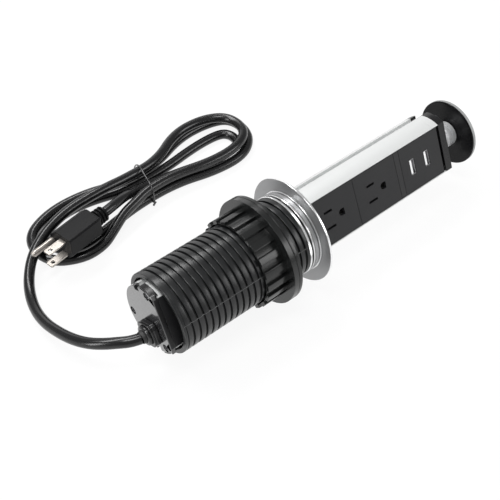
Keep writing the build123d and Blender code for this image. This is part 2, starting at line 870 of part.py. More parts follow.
with BuildPart() as cap_screw:
    revolve(
        turned(
            (screw_seat - cap_screw_head_height, 0),
            (screw_seat - cap_screw_head_height, cap_screw_head),
            (screw_seat, cap_screw_head),
            (screw_seat, cap_screw_shank),
            (screw_end - seat_gap, cap_screw_shank),
            (screw_end - seat_gap, 0),
        ),
        axis=spin_axis,
    )
save(cap_screw.part, "cap_screw")

# Free cord: straight runs joined by arcs as large as the runs allow
mouth = mouth_plane.from_local_coords(gland_place)
exit_end = mouth - Vector(cord_exit_run, 0, 0)
cord_route = [mouth, exit_end] + [Vector(*point) for point in cord_points]


def bend_radii(route):
    """Radius of the arc at each inner point, from its shorter run and its turn."""
    radii = []
    for before, corner, after in zip(route, route[1:], route[2:]):
        turn = radians((corner - before).get_angle(after - corner))
        shorter_run = min((corner - before).length, (after - corner).length)
        radii.append(arc_share * shorter_run / tan(turn / 2))
    return radii


cord_radii = bend_radii(cord_route)
print("cord tube radii", [round(radius, 1) for radius in cord_radii])
with BuildPart() as cord_tube:
    with BuildLine() as tube_path:
        FilletPolyline(*cord_route, radius=cord_radii)
    with BuildSketch(Plane(origin=mouth, z_dir=exit_end - mouth)) as tube_section:
        RegularPolygon(cord_diameter / 2, cord_sides)
    sweep(path=tube_path.wire())
tube_length = tube_path.wire().length
section_area = tube_section.sketch.area
tube_share = cord_tube.part.volume / tube_length / section_area
print("cord tube length", round(tube_length, 1), "volume share", round(tube_share, 4))
save(cord_tube.part, "cord_tube")

# Hank: flattened loops drawn in at the waist, the first loop lying on the other two
plug_heading = Vector(cos(radians(plug_turn)), sin(radians(plug_turn)), 0)
plug_side = Vector(-plug_heading.Y, plug_heading.X, 0)
relief_end = plug_root - plug_heading * (plug_length + relief_length) - plug_side * relief_offset
ground_level = cord_diameter / 2
upper_level = ground_level + cord_diameter + layer_gap


def level_heading(angle):
    """Unit vector in the ground plane."""
    return Vector(cos(radians(angle)), sin(radians(angle)), 0)


tube_heading = (cord_route[-1] - cord_route[-2]).normalized()
hank_start = cord_route[-1]
knots = [(hank_start, tube_heading), (hank_start + tube_heading * cord_diameter, tube_heading)]
for turn in range(hank_loops):
    level = upper_level if turn == 0 else ground_level
    waist_level = level + waist_lift
    knots.append((Vector(waist_x, waist_far[turn], waist_level), level_heading(0)))
    shoulder = right_tips[turn] - right_shoulder[turn]
    knots.append((Vector(shoulder, right_middle + right_half[turn], level), level_heading(0)))
    knots.append((Vector(right_tips[turn], right_middle, level), level_heading(-90)))
    knots.append((Vector(shoulder, right_middle - right_half[turn], level), level_heading(180)))
    knots.append((Vector(waist_x, waist_near[turn], waist_level), level_heading(180)))
    if turn == 0:
        knots.append((Vector(*crossing_point), level_heading(crossing_angle)))
    if turn < hank_loops - 1:
        low_x = left_tips[turn] + left_near_shoulder[turn]
        high_x = left_tips[turn] + left_far_shoulder[turn]
        knots.append((Vector(low_x, left_middle - left_half[turn], ground_level), level_heading(180)))
        knots.append((Vector(left_tips[turn], left_middle, ground_level), level_heading(90)))
        knots.append((Vector(high_x, left_middle + left_half[turn], ground_level), level_heading(0)))
knots.append((relief_end - plug_heading * cord_diameter, plug_heading))
knots.append((relief_end, plug_heading))


def biarc_joint(start, start_heading, end, end_heading):
    """Point where two arcs meet that leave and arrive along the given headings."""
    span = end - start
    both = start_heading + end_heading
    spread = 2 * (1 - start_heading.dot(end_heading))
    reach = span.dot(both)
    if spread < 1e-9:
        handle = span.dot(span) / (4 * span.dot(end_heading))
    else:
        handle = (sqrt(reach**2 + spread * span.dot(span)) - reach) / spread
    return (start + end + (start_heading - end_heading) * handle) * 0.5


with BuildPart() as cord_hank:
    with BuildLine() as hank_path:
        for (start, start_heading), (end, end_heading) in zip(knots, knots[1:]):
            if (end - start).get_angle(start_heading) < straight_angle:
                Line(start, end)
                continue
            joint = biarc_joint(start, start_heading, end, end_heading)
            first_arc = TangentArc(start, joint, tangent=start_heading)
            TangentArc(joint, end, tangent=first_arc % 1)
    with BuildSketch(Plane(origin=hank_start, z_dir=tube_heading)):
        RegularPolygon(cord_diameter / 2, cord_sides)
    sweep(path=hank_path.wire())
hank_length = hank_path.wire().length
hank_share = cord_hank.part.volume / hank_length / section_area
print("hank length", round(hank_length, 1), "volume share", round(hank_share, 4))
steps = int(hank_length / gap_step)
centres = [hank_path.wire().position_at(index / steps) for index in range(steps + 1)]
apart = int(pi * cord_diameter / gap_step)
least = min(
    (centres[first] - centres[second]).length
    for first in range(steps + 1)
    for second in range(first + apart, steps + 1)
)
print("least gap of the hank to itself", round(least - cord_diameter, 2))
save(cord_hank.part, "cord_hank")

# Plug: moulded body with a ribbed relief, two flat blades and a round ground pin
plug_plane = Plane(origin=plug_root, x_dir=plug_side, z_dir=plug_heading)
pin_place = (-pin_offset, 0)
blade_places = [(0, side * slot_spacing / 2) for side in (-1, 1)]
relief_radius = cord_diameter / 2 + relief_wall
rib_radius = relief_radius + rib_height
with BuildPart() as plug_body:
    with BuildSketch(plug_plane.offset(-plug_length)):
        with BuildLine():
            Polyline(
                (-plug_far_side, -plug_half_height),
                (plug_near_side - plug_bevel, -plug_half_height),
                (plug_near_side, plug_bevel - plug_half_height),
                (plug_near_side, plug_half_height),
                (plug_bevel - plug_far_side, plug_half_height),
                (-plug_far_side, plug_half_height - plug_bevel),
                close=True,
            )
        make_face()
    extrude(amount=plug_length)
    fillet(plug_body.edges().filter_by(lambda edge: edge.length > plug_length - seam), plug_edge)
    fillet(plug_body.faces().sort_by(Axis(plug_root, plug_heading))[0].edges(), plug_shoulder)
    relief_plane = Plane(origin=relief_end, x_dir=plug_heading, z_dir=(0, 0, 1))
    with BuildSketch(relief_plane):
        with BuildLine():
            rib_edge = [(0, 0), (0, relief_radius)]
            rib_pitch = relief_length / (relief_ribs + 1)
            for rib in range(relief_ribs):
                rib_start = (rib + rib_share) * rib_pitch
                rib_end = rib_start + rib_share * rib_pitch
                rib_edge += [(rib_start, relief_radius), (rib_start, rib_radius)]
                rib_edge += [(rib_end, rib_radius), (rib_end, relief_radius)]
            rib_edge += [(relief_length + plug_shoulder, relief_radius)]
            rib_edge += [(relief_length + plug_shoulder, 0)]
            Polyline(*rib_edge, close=True)
        make_face()
    revolve(axis=Axis(relief_end, plug_heading))
    with BuildSketch(plug_plane):
        with Locations(*blade_places):
            Rectangle(blade_width + 2 * seat_gap, blade_thickness + 2 * seat_gap)
        with Locations(pin_place):
            Circle(pin_radius + seat_gap)
    extrude(amount=-blade_root, mode=Mode.SUBTRACT)
save(plug_body.part, "plug_body")

with BuildPart() as plug_blades:
    with BuildSketch(plug_plane.offset(-blade_root + seat_gap)):
        with Locations(*blade_places):
            Rectangle(blade_width, blade_thickness)
    extrude(amount=blade_root - seat_gap + blade_length)
    tip_edges = plug_blades.edges().group_by(Axis(plug_root, plug_heading))[-1]
    chamfer(tip_edges.filter_by(lambda edge: edge.length < seam + blade_thickness), blade_tip_bevel)
    hole_plane = Plane(plug_root + plug_heading * blade_hole_place, z_dir=(0, 0, 1))
    with BuildSketch(hole_plane):
        Circle(blade_hole_radius)
    extrude(amount=slot_spacing, both=True, mode=Mode.SUBTRACT)
save(plug_blades.part, "plug_blades")

with BuildPart() as ground_pin:
    with BuildSketch(plug_plane.offset(-blade_root + seat_gap)):
        with Locations(pin_place):
            Circle(pin_radius)
    extrude(amount=blade_root - seat_gap + pin_length)
    fillet(ground_pin.faces().sort_by(Axis(plug_root, plug_heading))[-1].edges(), pin_tip_round)
save(ground_pin.part, "ground_pin")

# Twist tie: a flat wire round the waist of the hank
waist_low = ground_level + waist_lift - cord_diameter / 2
waist_high = upper_level + waist_lift + cord_diameter / 2
waist_front = min(waist_near) - cord_diameter / 2
waist_back = max(waist_far) + cord_diameter / 2
tie_height = waist_high - waist_low + 2 * tie_gap
tie_depth = waist_back - waist_front + 2 * tie_gap
tie_centre = (waist_x - tie_width / 2, (waist_front + waist_back) / 2, (waist_low + waist_high) / 2)
tie_plane = Plane(origin=tie_centre, x_dir=(0, 1, 0), z_dir=(1, 0, 0))
with BuildPart() as twist_tie:
    with BuildSketch(tie_plane):
        RectangleRounded(tie_depth + 2 * tie_thickness, tie_height + 2 * tie_thickness, tie_corner)
        RectangleRounded(tie_depth, tie_height, tie_corner - tie_thickness, mode=Mode.SUBTRACT)
    extrude(amount=tie_width)
save(twist_tie.part, "twist_tie")
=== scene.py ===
"""Looks of a pull-up desk grommet socket, lying on its side with its tower pulled out.

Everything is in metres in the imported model's frame. Shapes are drawn in millimetres on the
tower's own axes, station along it, across up the panel and out of the panel, and placed once.
"""
from __future__ import annotations

import logging
import math
from dataclasses import dataclass
from enum import Enum
from typing import Any, Callable, Sequence

import bmesh
import bpy
from mathutils import Matrix, Vector

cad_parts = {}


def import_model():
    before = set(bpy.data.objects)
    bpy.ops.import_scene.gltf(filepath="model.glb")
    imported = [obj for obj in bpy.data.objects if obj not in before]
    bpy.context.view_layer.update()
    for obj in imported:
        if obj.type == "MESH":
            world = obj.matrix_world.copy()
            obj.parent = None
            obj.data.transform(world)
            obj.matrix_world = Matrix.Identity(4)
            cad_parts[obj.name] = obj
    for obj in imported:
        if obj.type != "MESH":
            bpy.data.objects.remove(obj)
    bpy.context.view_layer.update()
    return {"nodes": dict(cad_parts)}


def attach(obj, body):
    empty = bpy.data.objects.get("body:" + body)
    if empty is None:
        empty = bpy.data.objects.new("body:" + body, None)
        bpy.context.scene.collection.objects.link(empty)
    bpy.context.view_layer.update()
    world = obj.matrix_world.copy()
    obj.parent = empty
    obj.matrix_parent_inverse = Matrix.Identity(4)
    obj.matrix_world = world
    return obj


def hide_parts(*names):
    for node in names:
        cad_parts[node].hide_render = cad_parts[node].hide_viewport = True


MM = 0.001
WHITE = (1.0, 1.0, 1.0, 1.0)
COAT_ROUGHNESS = 0.08
MIX_FACTOR, MIX_FIRST, MIX_SECOND, MIX_RESULT = 0, 6, 7, 2  # sockets of a colour mix
LOG = logging.getLogger("socket")
Pair = tuple[float, float]
Triple = tuple[float, float, float]


class Body(Enum):
    """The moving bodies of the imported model."""

    HOUSING = "housing"
    CLAMP_RING = "clamp_ring"
    CLAMP_NUT = "clamp_nut"
    TOWER = "tower"
    PLUNGER = "cap_plunger"


# ---------------------------------------------------------------- shader maths


def _operator(operation: str, swapped: bool = False) -> Callable[["Field", Any], "Field"]:
    """A method that joins a field and another value in a Math node."""

    def method(self: "Field", other: Any) -> "Field":
        return self.math(operation, other, self) if swapped else self.math(operation, self, other)

    return method


class Field:
    """A shader socket that takes part in Python sums."""

    def __init__(self, sheet: "ShaderSheet", socket: bpy.types.NodeSocket) -> None:
        self.sheet = sheet
        self.socket = socket

    def output(self, name: str) -> "Field":
        """Another output of the same node."""
        return Field(self.sheet, self.socket.node.outputs[name])

    def math(self, operation: str, first: Any, second: Any = 0.0) -> "Field":
        """A Math node on two values or fields."""
        return self.sheet.node("ShaderNodeMath", {"operation": operation}, {0: first, 1: second})

    __add__ = __radd__ = _operator("ADD")
    __mul__ = __rmul__ = _operator("MULTIPLY")
    __sub__ = _operator("SUBTRACT")
    __rsub__ = _operator("SUBTRACT", swapped=True)
    __mod__ = _operator("FLOORED_MODULO")
    __gt__ = _operator("GREATER_THAN")
    __lt__ = _operator("LESS_THAN")
    highest = _operator("MAXIMUM")

    def sine(self) -> "Field":
        """Sine of an angle in radians."""
        return self.math("SINE", self)

    def ease(self, low: float, high: float) -> "Field":
        """Smooth step from 0 at low to 1 at high."""
        return self.sheet.node(
            "ShaderNodeMapRange", {"interpolation_type": "SMOOTHSTEP"},
            {"Value": self, "From Min": low, "From Max": high},
        )


class ShaderSheet:
    """The node tree of one material or world."""

    def __init__(self, tree: bpy.types.NodeTree) -> None:
        self.tree = tree
        tree.nodes.clear()

    def node(
        self, kind: str, settings: dict[str, Any] | None = None,
        inputs: dict[Any, Any] | None = None, result: Any = 0,
    ) -> Field:
        """Make one node.

        Args:
            kind: Blender's type name of the node.
            settings: Its settings, set before its sockets.
            inputs: Values or fields by socket name or number.
            result: The output that is returned.

        Returns:
            The chosen output.
        """
        made = self.tree.nodes.new(kind)
        for name, value in (settings or {}).items():
            setattr(made, name, value)
        for name, value in (inputs or {}).items():
            if isinstance(value, Field):
                self.tree.links.new(value.socket, made.inputs[name])
            else:
                made.inputs[name].default_value = value
        outputs = made.outputs
        return Field(self, outputs[result]) if len(outputs) else Field(self, made.inputs[0])

    def place(self) -> Field:
        """The point on the object, in metres."""
        return self.node("ShaderNodeTexCoord", result="Object")

    def parts(self, vector: Field) -> tuple[Field, Field, Field]:
        """The three parts of a vector."""
        split = self.node("ShaderNodeSeparateXYZ", {}, {0: vector})
        return split, split.output("Y"), split.output("Z")

    def noise(self, vector: Field, scale: float, detail: float = 2.0, rough: float = 0.5) -> Field:
        """Noise from 0 to 1, with so many lumps to a metre."""
        return self.node(
            "ShaderNodeTexNoise", {},
            {"Vector": vector, "Scale": scale, "Detail": detail, "Roughness": rough},
        )

    def stretched(self, vector: Field, scale: Triple) -> Field:
        """A point with its parts scaled apart, for streaks."""
        return self.node(
            "ShaderNodeMapping", {"vector_type": "POINT"}, {"Vector": vector, "Scale": scale}
        )

    def mix_colours(self, factor: Field, first: Any, second: Any) -> Field:
        """Blend of two colours."""
        inputs = {MIX_FACTOR: factor, MIX_FIRST: _rgba(first), MIX_SECOND: _rgba(second)}
        return self.node("ShaderNodeMix", {"data_type": "RGBA"}, inputs, MIX_RESULT)

    def bump(self, height: Field, strength: float, depth: float) -> Field:
        """Normal from a height field, with its depth in metres."""
        return self.node(
            "ShaderNodeBump", {}, {"Strength": strength, "Distance": depth, "Height": height}
        )


def _rgba(colour: Any) -> Any:
    """A colour with its alpha, or a field as it is."""
    return colour if isinstance(colour, Field) else (*colour, 1.0)


# ---------------------------------------------------------------- finishes


@dataclass(frozen=True)
class Finish:
    """A surface finish, the same everywhere but for the grain that its kind adds."""

    name: str
    colour: Triple
    roughness: float = 0.4
    metal: float = 0.0
    coat: float = 0.0
    specular: float = 0.5

    def grain(self, sheet: ShaderSheet) -> dict[str, Any]:
        """What varies over the surface, by the shader's socket names."""
        return {}

    def material(self) -> bpy.types.Material:
        """The finish as a material, made once."""
        known = bpy.data.materials.get(self.name)
        if known is not None:
            return known
        made = bpy.data.materials.new(self.name)
        made.use_nodes = True
        sheet = ShaderSheet(made.node_tree)
        shader = sheet.node(
            "ShaderNodeBsdfPrincipled", {},
            {
                "Base Color": _rgba(self.colour),
                "Roughness": self.roughness,
                "Metallic": self.metal,
                "Coat Weight": self.coat,
                "Coat Roughness": COAT_ROUGHNESS,
                "Specular IOR Level": self.specular,
                **self.grain(sheet),
            },
        )
        sheet.node("ShaderNodeOutputMaterial", {}, {"Surface": shader})
        made.diffuse_color = (*self.colour, 1.0)
        return made


@dataclass(frozen=True)
class MouldedPlastic(Finish):
    """Injection-moulded plastic with a fine spark-eroded grain and faint handling wear."""

    grain_size: float = 3200.0
    grain_depth: float = 0.00003
    sheen_spread: float = 0.08
    mottle: float = 0.6
    wear: float = 0.3

    def grain(self, sheet: ShaderSheet) -> dict[str, Any]:
        """Grain in the normal, uneven gloss, and a slightly mottled colour."""
        place = sheet.place()
        fine = sheet.noise(place, self.grain_size, 4.0, 0.6)
        broad = sheet.noise(place, 60.0, 3.0)
        worn = sheet.noise(place, 700.0, 2.0)
        pale = tuple(min(1.0, part * 1.35 + 0.003) for part in self.colour)
        return {
            "Base Color": sheet.mix_colours(
                broad * self.mottle + worn * self.wear, self.colour, pale
            ),
            "Roughness": self.roughness + (broad - 0.5) * self.sheen_spread,
            "Normal": sheet.bump(fine, 0.35, self.grain_depth),
        }


@dataclass(frozen=True)
class GlossPlastic(Finish):
    """Polished plastic with the faint ripple of a moulded face."""

    def grain(self, sheet: ShaderSheet) -> dict[str, Any]:
        """A slow ripple in the normal and light dust in the gloss."""
        place = sheet.place()
        ripple = sheet.noise(place, 90.0, 1.0)
        dust = sheet.noise(place, 1500.0, 2.0)
        return {
            "Roughness": self.roughness + dust.ease(0.55, 0.8) * 0.1,
            "Normal": sheet.bump(ripple, 0.05, 0.0004),
        }


@dataclass(frozen=True)
class BrushedMetal(Finish):
    """Metal with streaks along the tower, from drawing or brushing."""

    streak: float = 0.15
    streak_scale: Triple = (30.0, 2600.0, 2600.0)

    def grain(self, sheet: ShaderSheet) -> dict[str, Any]:
        """Long streaks in colour, gloss and normal."""
        line = sheet.noise(sheet.stretched(sheet.place(), self.streak_scale), 1.0, 4.0, 0.6)
        dull = tuple(part * (1.0 - self.streak) for part in self.colour)
        return {
            "Base Color": sheet.mix_colours(line, dull, self.colour),
            "Roughness": self.roughness + (line - 0.5) * 0.12,
            "Normal": sheet.bump(line, 0.08, 0.00002),
        }


@dataclass(frozen=True)
class TurnedMetal(Finish):
    """Metal turned on a lathe: fine rings round the tower's line.

    Faces below the station under_top, in millimetres, and past the radius under_start, in
    metres, are the flange's underside: painted shade darkens their colour and their gloss is
    rougher.
    """

    ring_pitch: float = 0.00016
    under_start: float = 1.0
    underside_painted_shade: float = 0.0
    under_top: float = 0.08
    underside_painted_shade_colour: Triple = (0.12, 0.12, 0.125)
    under_rough: float = 0.14

    def grain(self, sheet: ShaderSheet) -> dict[str, Any]:
        """Rings that follow the radius on flat faces and the station on round ones, with painted
        shade on the flange's underside.
        """
        along, side, height = sheet.parts(sheet.place())
        rise = height - TowerLine.height * MM
        radius = sheet.node("ShaderNodeMath", {"operation": "SQRT"}, {0: side * side + rise * rise})
        rings = ((radius + along) * (math.tau / self.ring_pitch)).sine() * 0.5 + 0.5
        uneven = sheet.noise(sheet.place(), 900.0, 3.0)
        dull = tuple(part * 0.9 for part in self.colour)
        # Mask of the flange's underside, where painted shade darkens the colour and the gloss is
        # rougher.
        under = (radius > self.under_start) * (along < (TowerLine.shift + self.under_top) * MM)
        metal = sheet.mix_colours(rings * 0.4 + uneven * 0.3, self.colour, dull)
        return {
            "Base Color": sheet.mix_colours(under * self.underside_painted_shade, metal, self.underside_painted_shade_colour),
            "Roughness": self.roughness + (uneven - 0.5) * 0.05 + under * self.under_rough,
            "Normal": sheet.bump(rings, 0.06, 0.000006),
        }


@dataclass(frozen=True)
class CordJacket(Finish):
    """Extruded jacket: smooth, with a trace of the lay of its cores and faint scuffs."""

    def grain(self, sheet: ShaderSheet) -> dict[str, Any]:
        """Soft waves, scuffs and a little dust."""
        place = sheet.place()
        wave = sheet.noise(place, 120.0, 2.0)
        scuff = sheet.noise(place, 1800.0, 4.0, 0.7)
        pale = tuple(part * 1.6 + 0.004 for part in self.colour)
        return {
            "Base Color": sheet.mix_colours(scuff.ease(0.45, 0.8) * 0.25, self.colour, pale),
            "Roughness": self.roughness + (scuff - 0.5) * 0.03,
            "Normal": sheet.bump(wave, 0.04, 0.0002),
        }


@dataclass(frozen=True)
class Felt(Finish):
    """Dense felt with matted fibres."""

    def grain(self, sheet: ShaderSheet) -> dict[str, Any]:
        """Fibres in colour and normal."""
        fibre = sheet.noise(sheet.stretched(sheet.place(), (1.0, 0.3, 1.0)), 6000.0, 5.0, 0.7)
        pale = tuple(part * 1.8 for part in self.colour)
        return {
            "Base Color": sheet.mix_colours(fibre, self.colour, pale),
            "Normal": sheet.bump(fibre, 0.8, 0.0001),
        }


@dataclass(frozen=True)
class CircuitBoard(Finish):
    """Green board: masked copper tracks under a clear lacquer, in millimetres."""

    pitch: Pair = (1.4, 2.1)
    width: Pair = (0.45, 0.4)
    copper: Triple = (0.12, 0.34, 0.14)

    def grain(self, sheet: ShaderSheet) -> dict[str, Any]:
        """Straight tracks both ways, slightly raised."""
        along, side, _ = sheet.parts(sheet.place())
        first, second = (
            ((place * 1000.0) % pitch) < width
            for place, pitch, width in zip((along, side), self.pitch, self.width)
        )
        tracks = first.highest(second)
        return {
            "Base Color": sheet.mix_colours(tracks * 0.7, self.colour, self.copper),
            "Normal": sheet.bump(tracks, 0.4, 0.00004),
        }


@dataclass(frozen=True)
class Finishes:
    """Every finish of the socket."""

    sleeve: Finish = MouldedPlastic("sleeve black", (0.007, 0.0075, 0.008), 0.3, specular=0.42)
    # Lighter grey for the seam ridge on the black sleeve: a painted highlight.
    seam_painted_highlight: Finish = MouldedPlastic("parting flash", (0.1, 0.1, 0.102), 0.4)
    nut: Finish = MouldedPlastic("nut black", (0.006, 0.0065, 0.0065), 0.24, specular=0.5)
    panel: Finish = MouldedPlastic(
        "panel satin black", (0.015, 0.015, 0.016), 0.44, specular=0.26, grain_size=5200.0,
        grain_depth=0.000015,
    )
    spacer: Finish = MouldedPlastic(
        "spacer satin black", (0.015, 0.015, 0.016), 0.4, specular=0.3, grain_size=5200.0,
        grain_depth=0.000015,
    )
    gloss: Finish = GlossPlastic("gloss black", (0.02, 0.02, 0.021), 0.2, coat=0.9, specular=0.8)
    dish: Finish = GlossPlastic(
        "dish black", (0.003, 0.003, 0.0035), 0.26, coat=0.05, specular=0.14
    )
    block: Finish = MouldedPlastic("end block black", (0.006, 0.006, 0.0065), 0.28, specular=0.35)
    gland: Finish = MouldedPlastic(
        "gland black", (0.007, 0.007, 0.0075), 0.2, specular=0.6, grain_depth=0.00001
    )
    body: Finish = MouldedPlastic("receptacle grey", (0.1, 0.1, 0.1), 0.5)
    tongue: Finish = MouldedPlastic("tongue white", (0.86, 0.86, 0.87), 0.4)
    wire: Finish = CordJacket("core sleeve", (0.09, 0.09, 0.1), 0.4)
    felt: Finish = Felt("pad felt", (0.09, 0.09, 0.09), 0.95)
    board: Finish = CircuitBoard("charger board", (0.02, 0.14, 0.05), 0.3, coat=0.5)
    # The bezel's flange underside is painted darker, as painted shade.
    bezel: Finish = TurnedMetal(
        "bezel aluminium", (0.92, 0.925, 0.93), 0.24, 0.85, under_start=0.0315, underside_painted_shade=0.72
    )
    rail: Finish = BrushedMetal("rail aluminium", (0.65, 0.659, 0.656), 0.5, 0.3, streak=0.04)
    trim: Finish = TurnedMetal("trim aluminium", (0.3, 0.305, 0.305), 0.55, 0.25)
    stem: Finish = TurnedMetal("stem steel", (0.85, 0.86, 0.87), 0.3, 0.5, ring_pitch=0.00008)
    brass: Finish = BrushedMetal("contact brass", (0.8, 0.58, 0.25), 0.3, 1.0)
    shell: Finish = BrushedMetal("port steel", (0.55, 0.55, 0.56), 0.3, 1.0)
    screw: Finish = BrushedMetal("screw steel", (0.5, 0.5, 0.51), 0.3, 1.0)
    dark_screw: Finish = BrushedMetal("blackened screw", (0.06, 0.06, 0.065), 0.3, 0.8)
    blade: Finish = BrushedMetal(
        "blade nickel", (0.4, 0.37, 0.34), 0.3, 0.8, streak=0.04,
        streak_scale=(400.0, 400.0, 3000.0),
    )
    rubber: Finish = MouldedPlastic("gland rubber", (0.02, 0.02, 0.02), 0.55)
    cord: Finish = CordJacket("cord jacket", (0.005, 0.005, 0.0055), 0.24, specular=0.5)
    plug: Finish = MouldedPlastic("plug black", (0.003, 0.003, 0.0035), 0.42, specular=0.14)
    tie: Finish = CordJacket("tie wire", (0.02, 0.02, 0.021), 0.22, specular=0.8)


# ---------------------------------------------------------------- shapes


@dataclass(frozen=True)
class TowerLine:
    """The line that the tower slides along, and its tilt, in millimetres and degrees."""

    shift: float = -16.9
    height: float = 41.0
    tilt: float = 24.6

    def place(self, across: float = 0.0, out: float = 0.0) -> Matrix:
        """Matrix from millimetres on the tower's axes to metres in the world."""
        turn = math.radians(self.tilt)
        sine, cosine = math.sin(turn), math.cos(turn)
        axes = Matrix(((1.0, 0.0, 0.0), (0.0, sine, -cosine), (0.0, cosine, sine)))
        move = Matrix.Translation(Vector((self.shift, 0.0, self.height)))
        offset = Matrix.Translation(Vector((0.0, across, out)))
        return Matrix.Scale(MM, 4) @ move @ axes.to_4x4() @ offset


TOWER = TowerLine()
BIG_ROUND = 160
SMALL_ROUND = 96
SOFT_CORNER = 40.0
MERGE = 1e-4


def link(name: str, data: bpy.types.ID) -> bpy.types.Object:
    """A new object of the scene that shows the data."""
    item = bpy.data.objects.new(name, data)
    bpy.context.scene.collection.objects.link(item)
    return item


def only_verts(geom: Sequence[Any]) -> list[bmesh.types.BMVert]:
    """The vertices among what a bmesh operator gives back."""
    return [item for item in geom if isinstance(item, bmesh.types.BMVert)]


class Shape:
    """A mesh being made, in millimetres on the axes of its piece."""

    def __init__(self) -> None:
        self.mesh = bmesh.new()

    def _clean(self) -> "Shape":
        """Merge doubles and turn every face outwards."""
        bmesh.ops.remove_doubles(self.mesh, verts=self.mesh.verts, dist=MERGE)
        bmesh.ops.recalc_face_normals(self.mesh, faces=self.mesh.faces)
        return self

    def spin(
        self, geom: Sequence[Any], steps: int, angle: float = math.tau, climb: float = 0.0,
        merge: bool = True,
    ) -> "Shape":
        """Turn geometry round the X axis, climbing along it by so much a step."""
        bmesh.ops.spin(
            self.mesh, geom=geom, cent=(0.0, 0.0, 0.0), axis=(1.0, 0.0, 0.0),
            dvec=(climb, 0.0, 0.0), angle=angle, steps=steps, use_merge=merge,
        )
        return self._clean()

    @classmethod
    def lathe(cls, profile: Sequence[Pair], steps: int = 128, closed: bool = True) -> "Shape":
        """Turn an outline of (station, radius) points round the X axis."""
        made = cls()
        verts = [made.mesh.verts.new((station, 0.0, radius)) for station, radius in profile]
        ring = verts + verts[:1] if closed else verts
        edges = [made.mesh.edges.new(pair) for pair in zip(ring, ring[1:])]
        return made.spin(verts + edges, steps)

    @classmethod
    def prism(cls, outline: Sequence[Pair], start: float, length: float) -> "Shape":
        """Raise an (across, out) outline along the X axis from a station."""
        return cls.raised([(start, across, out) for across, out in outline], (length, 0.0, 0.0))

    @classmethod
    def raised(cls, points: Sequence[Triple], step: Triple) -> "Shape":
        """Raise a flat outline by a step."""
        made = cls()
        face = made.mesh.faces.new([made.mesh.verts.new(point) for point in points])
        copy = bmesh.ops.extrude_face_region(made.mesh, geom=[face], use_keep_orig=True)
        bmesh.ops.translate(made.mesh, verts=only_verts(copy["geom"]), vec=step)
        return made._clean()

    @classmethod
    def block(cls, low: Triple, high: Triple) -> "Shape":
        """A box between two corners."""
        made = cls()
        size = [b - a for a, b in zip(low, high)]
        middle = [(a + b) / 2 for a, b in zip(low, high)]
        place = Matrix.Translation(middle) @ Matrix.Diagonal((*size, 1.0))
        bmesh.ops.create_cube(made.mesh, size=1.0, matrix=place)
        return made

    @classmethod
    def rod(cls, start: Triple, end: Triple, radius: float, steps: int = 32) -> "Shape":
        """A round rod between two points."""
        made = cls()
        line = Vector(end) - Vector(start)
        middle = Matrix.Translation((Vector(start) + Vector(end)) / 2)
        bmesh.ops.create_cone(
            made.mesh, cap_ends=True, segments=steps, radius1=radius, radius2=radius,
            depth=line.length, matrix=middle @ line.to_track_quat("Z", "Y").to_matrix().to_4x4(),
        )
        return made

    def join(self, *others: "Shape") -> "Shape":
        """Add other shapes as they are, and use them up."""
        for other in others:
            store = bpy.data.meshes.new("store")
            other.mesh.to_mesh(store)
            other.mesh.free()
            self.mesh.from_mesh(store)
            bpy.data.meshes.remove(store)
        return self

    def move(self, matrix: Matrix) -> "Shape":
        """Carry the whole shape by a matrix."""
        bmesh.ops.transform(self.mesh, matrix=matrix, verts=self.mesh.verts)
        return self

    def turn(self, degrees: float) -> "Shape":
        """Turn the whole shape round the X axis."""
        return self.move(Matrix.Rotation(math.radians(degrees), 4, "X"))

    def ring_of(self, count: int) -> "Shape":
        """Repeat the shape round the X axis."""
        geom = [*self.mesh.verts, *self.mesh.edges, *self.mesh.faces]
        for index in range(1, count):
            copy = bmesh.ops.duplicate(self.mesh, geom=geom)
            turn = Matrix.Rotation(math.tau * index / count, 4, "X")
            bmesh.ops.transform(self.mesh, matrix=turn, verts=only_verts(copy["geom"]))
        return self

    def edges_at(self, station: float) -> list[bmesh.types.BMEdge]:
        """Edges that lie across the X axis at a station."""
        return [e for e in self.mesh.edges if all(abs(v.co.x - station) < 0.01 for v in e.verts)]

    def edges_along(self, reach: float) -> list[bmesh.types.BMEdge]:
        """Edges that go along the X axis by more than a reach."""
        return [e for e in self.mesh.edges if abs(e.verts[0].co.x - e.verts[1].co.x) > reach]

    def bevel(
        self, edges: Sequence[bmesh.types.BMEdge], width: float, segments: int, clamp: bool = False
    ) -> "Shape":
        """Round edges off."""
        bmesh.ops.bevel(
            self.mesh, geom=edges, offset=width, offset_type="OFFSET", segments=segments,
            profile=0.5, affect="EDGES", clamp_overlap=clamp, material=-1,
        )
        return self

    def soften(self, width: float, segments: int = 2, angle: float = 25.0) -> "Shape":
        """Bevel every edge whose faces meet at more than an angle."""
        limit = math.radians(angle)
        edges = [edge for edge in self.mesh.edges if edge.calc_face_angle(0.0) > limit]
        return self.bevel(edges, width, segments, True)

    def slice(self, point: Triple, normal: Triple) -> "Shape":
        """Cut off what lies on the normal's side of a plane and close the cut."""
        geom = [*self.mesh.verts, *self.mesh.edges, *self.mesh.faces]
        cut = bmesh.ops.bisect_plane(
            self.mesh, geom=geom, plane_co=point, plane_no=normal, clear_outer=True
        )
        edges = [item for item in cut["geom_cut"] if isinstance(item, bmesh.types.BMEdge)]
        if edges:
            bmesh.ops.holes_fill(self.mesh, edges=edges, sides=0)
        return self._clean()

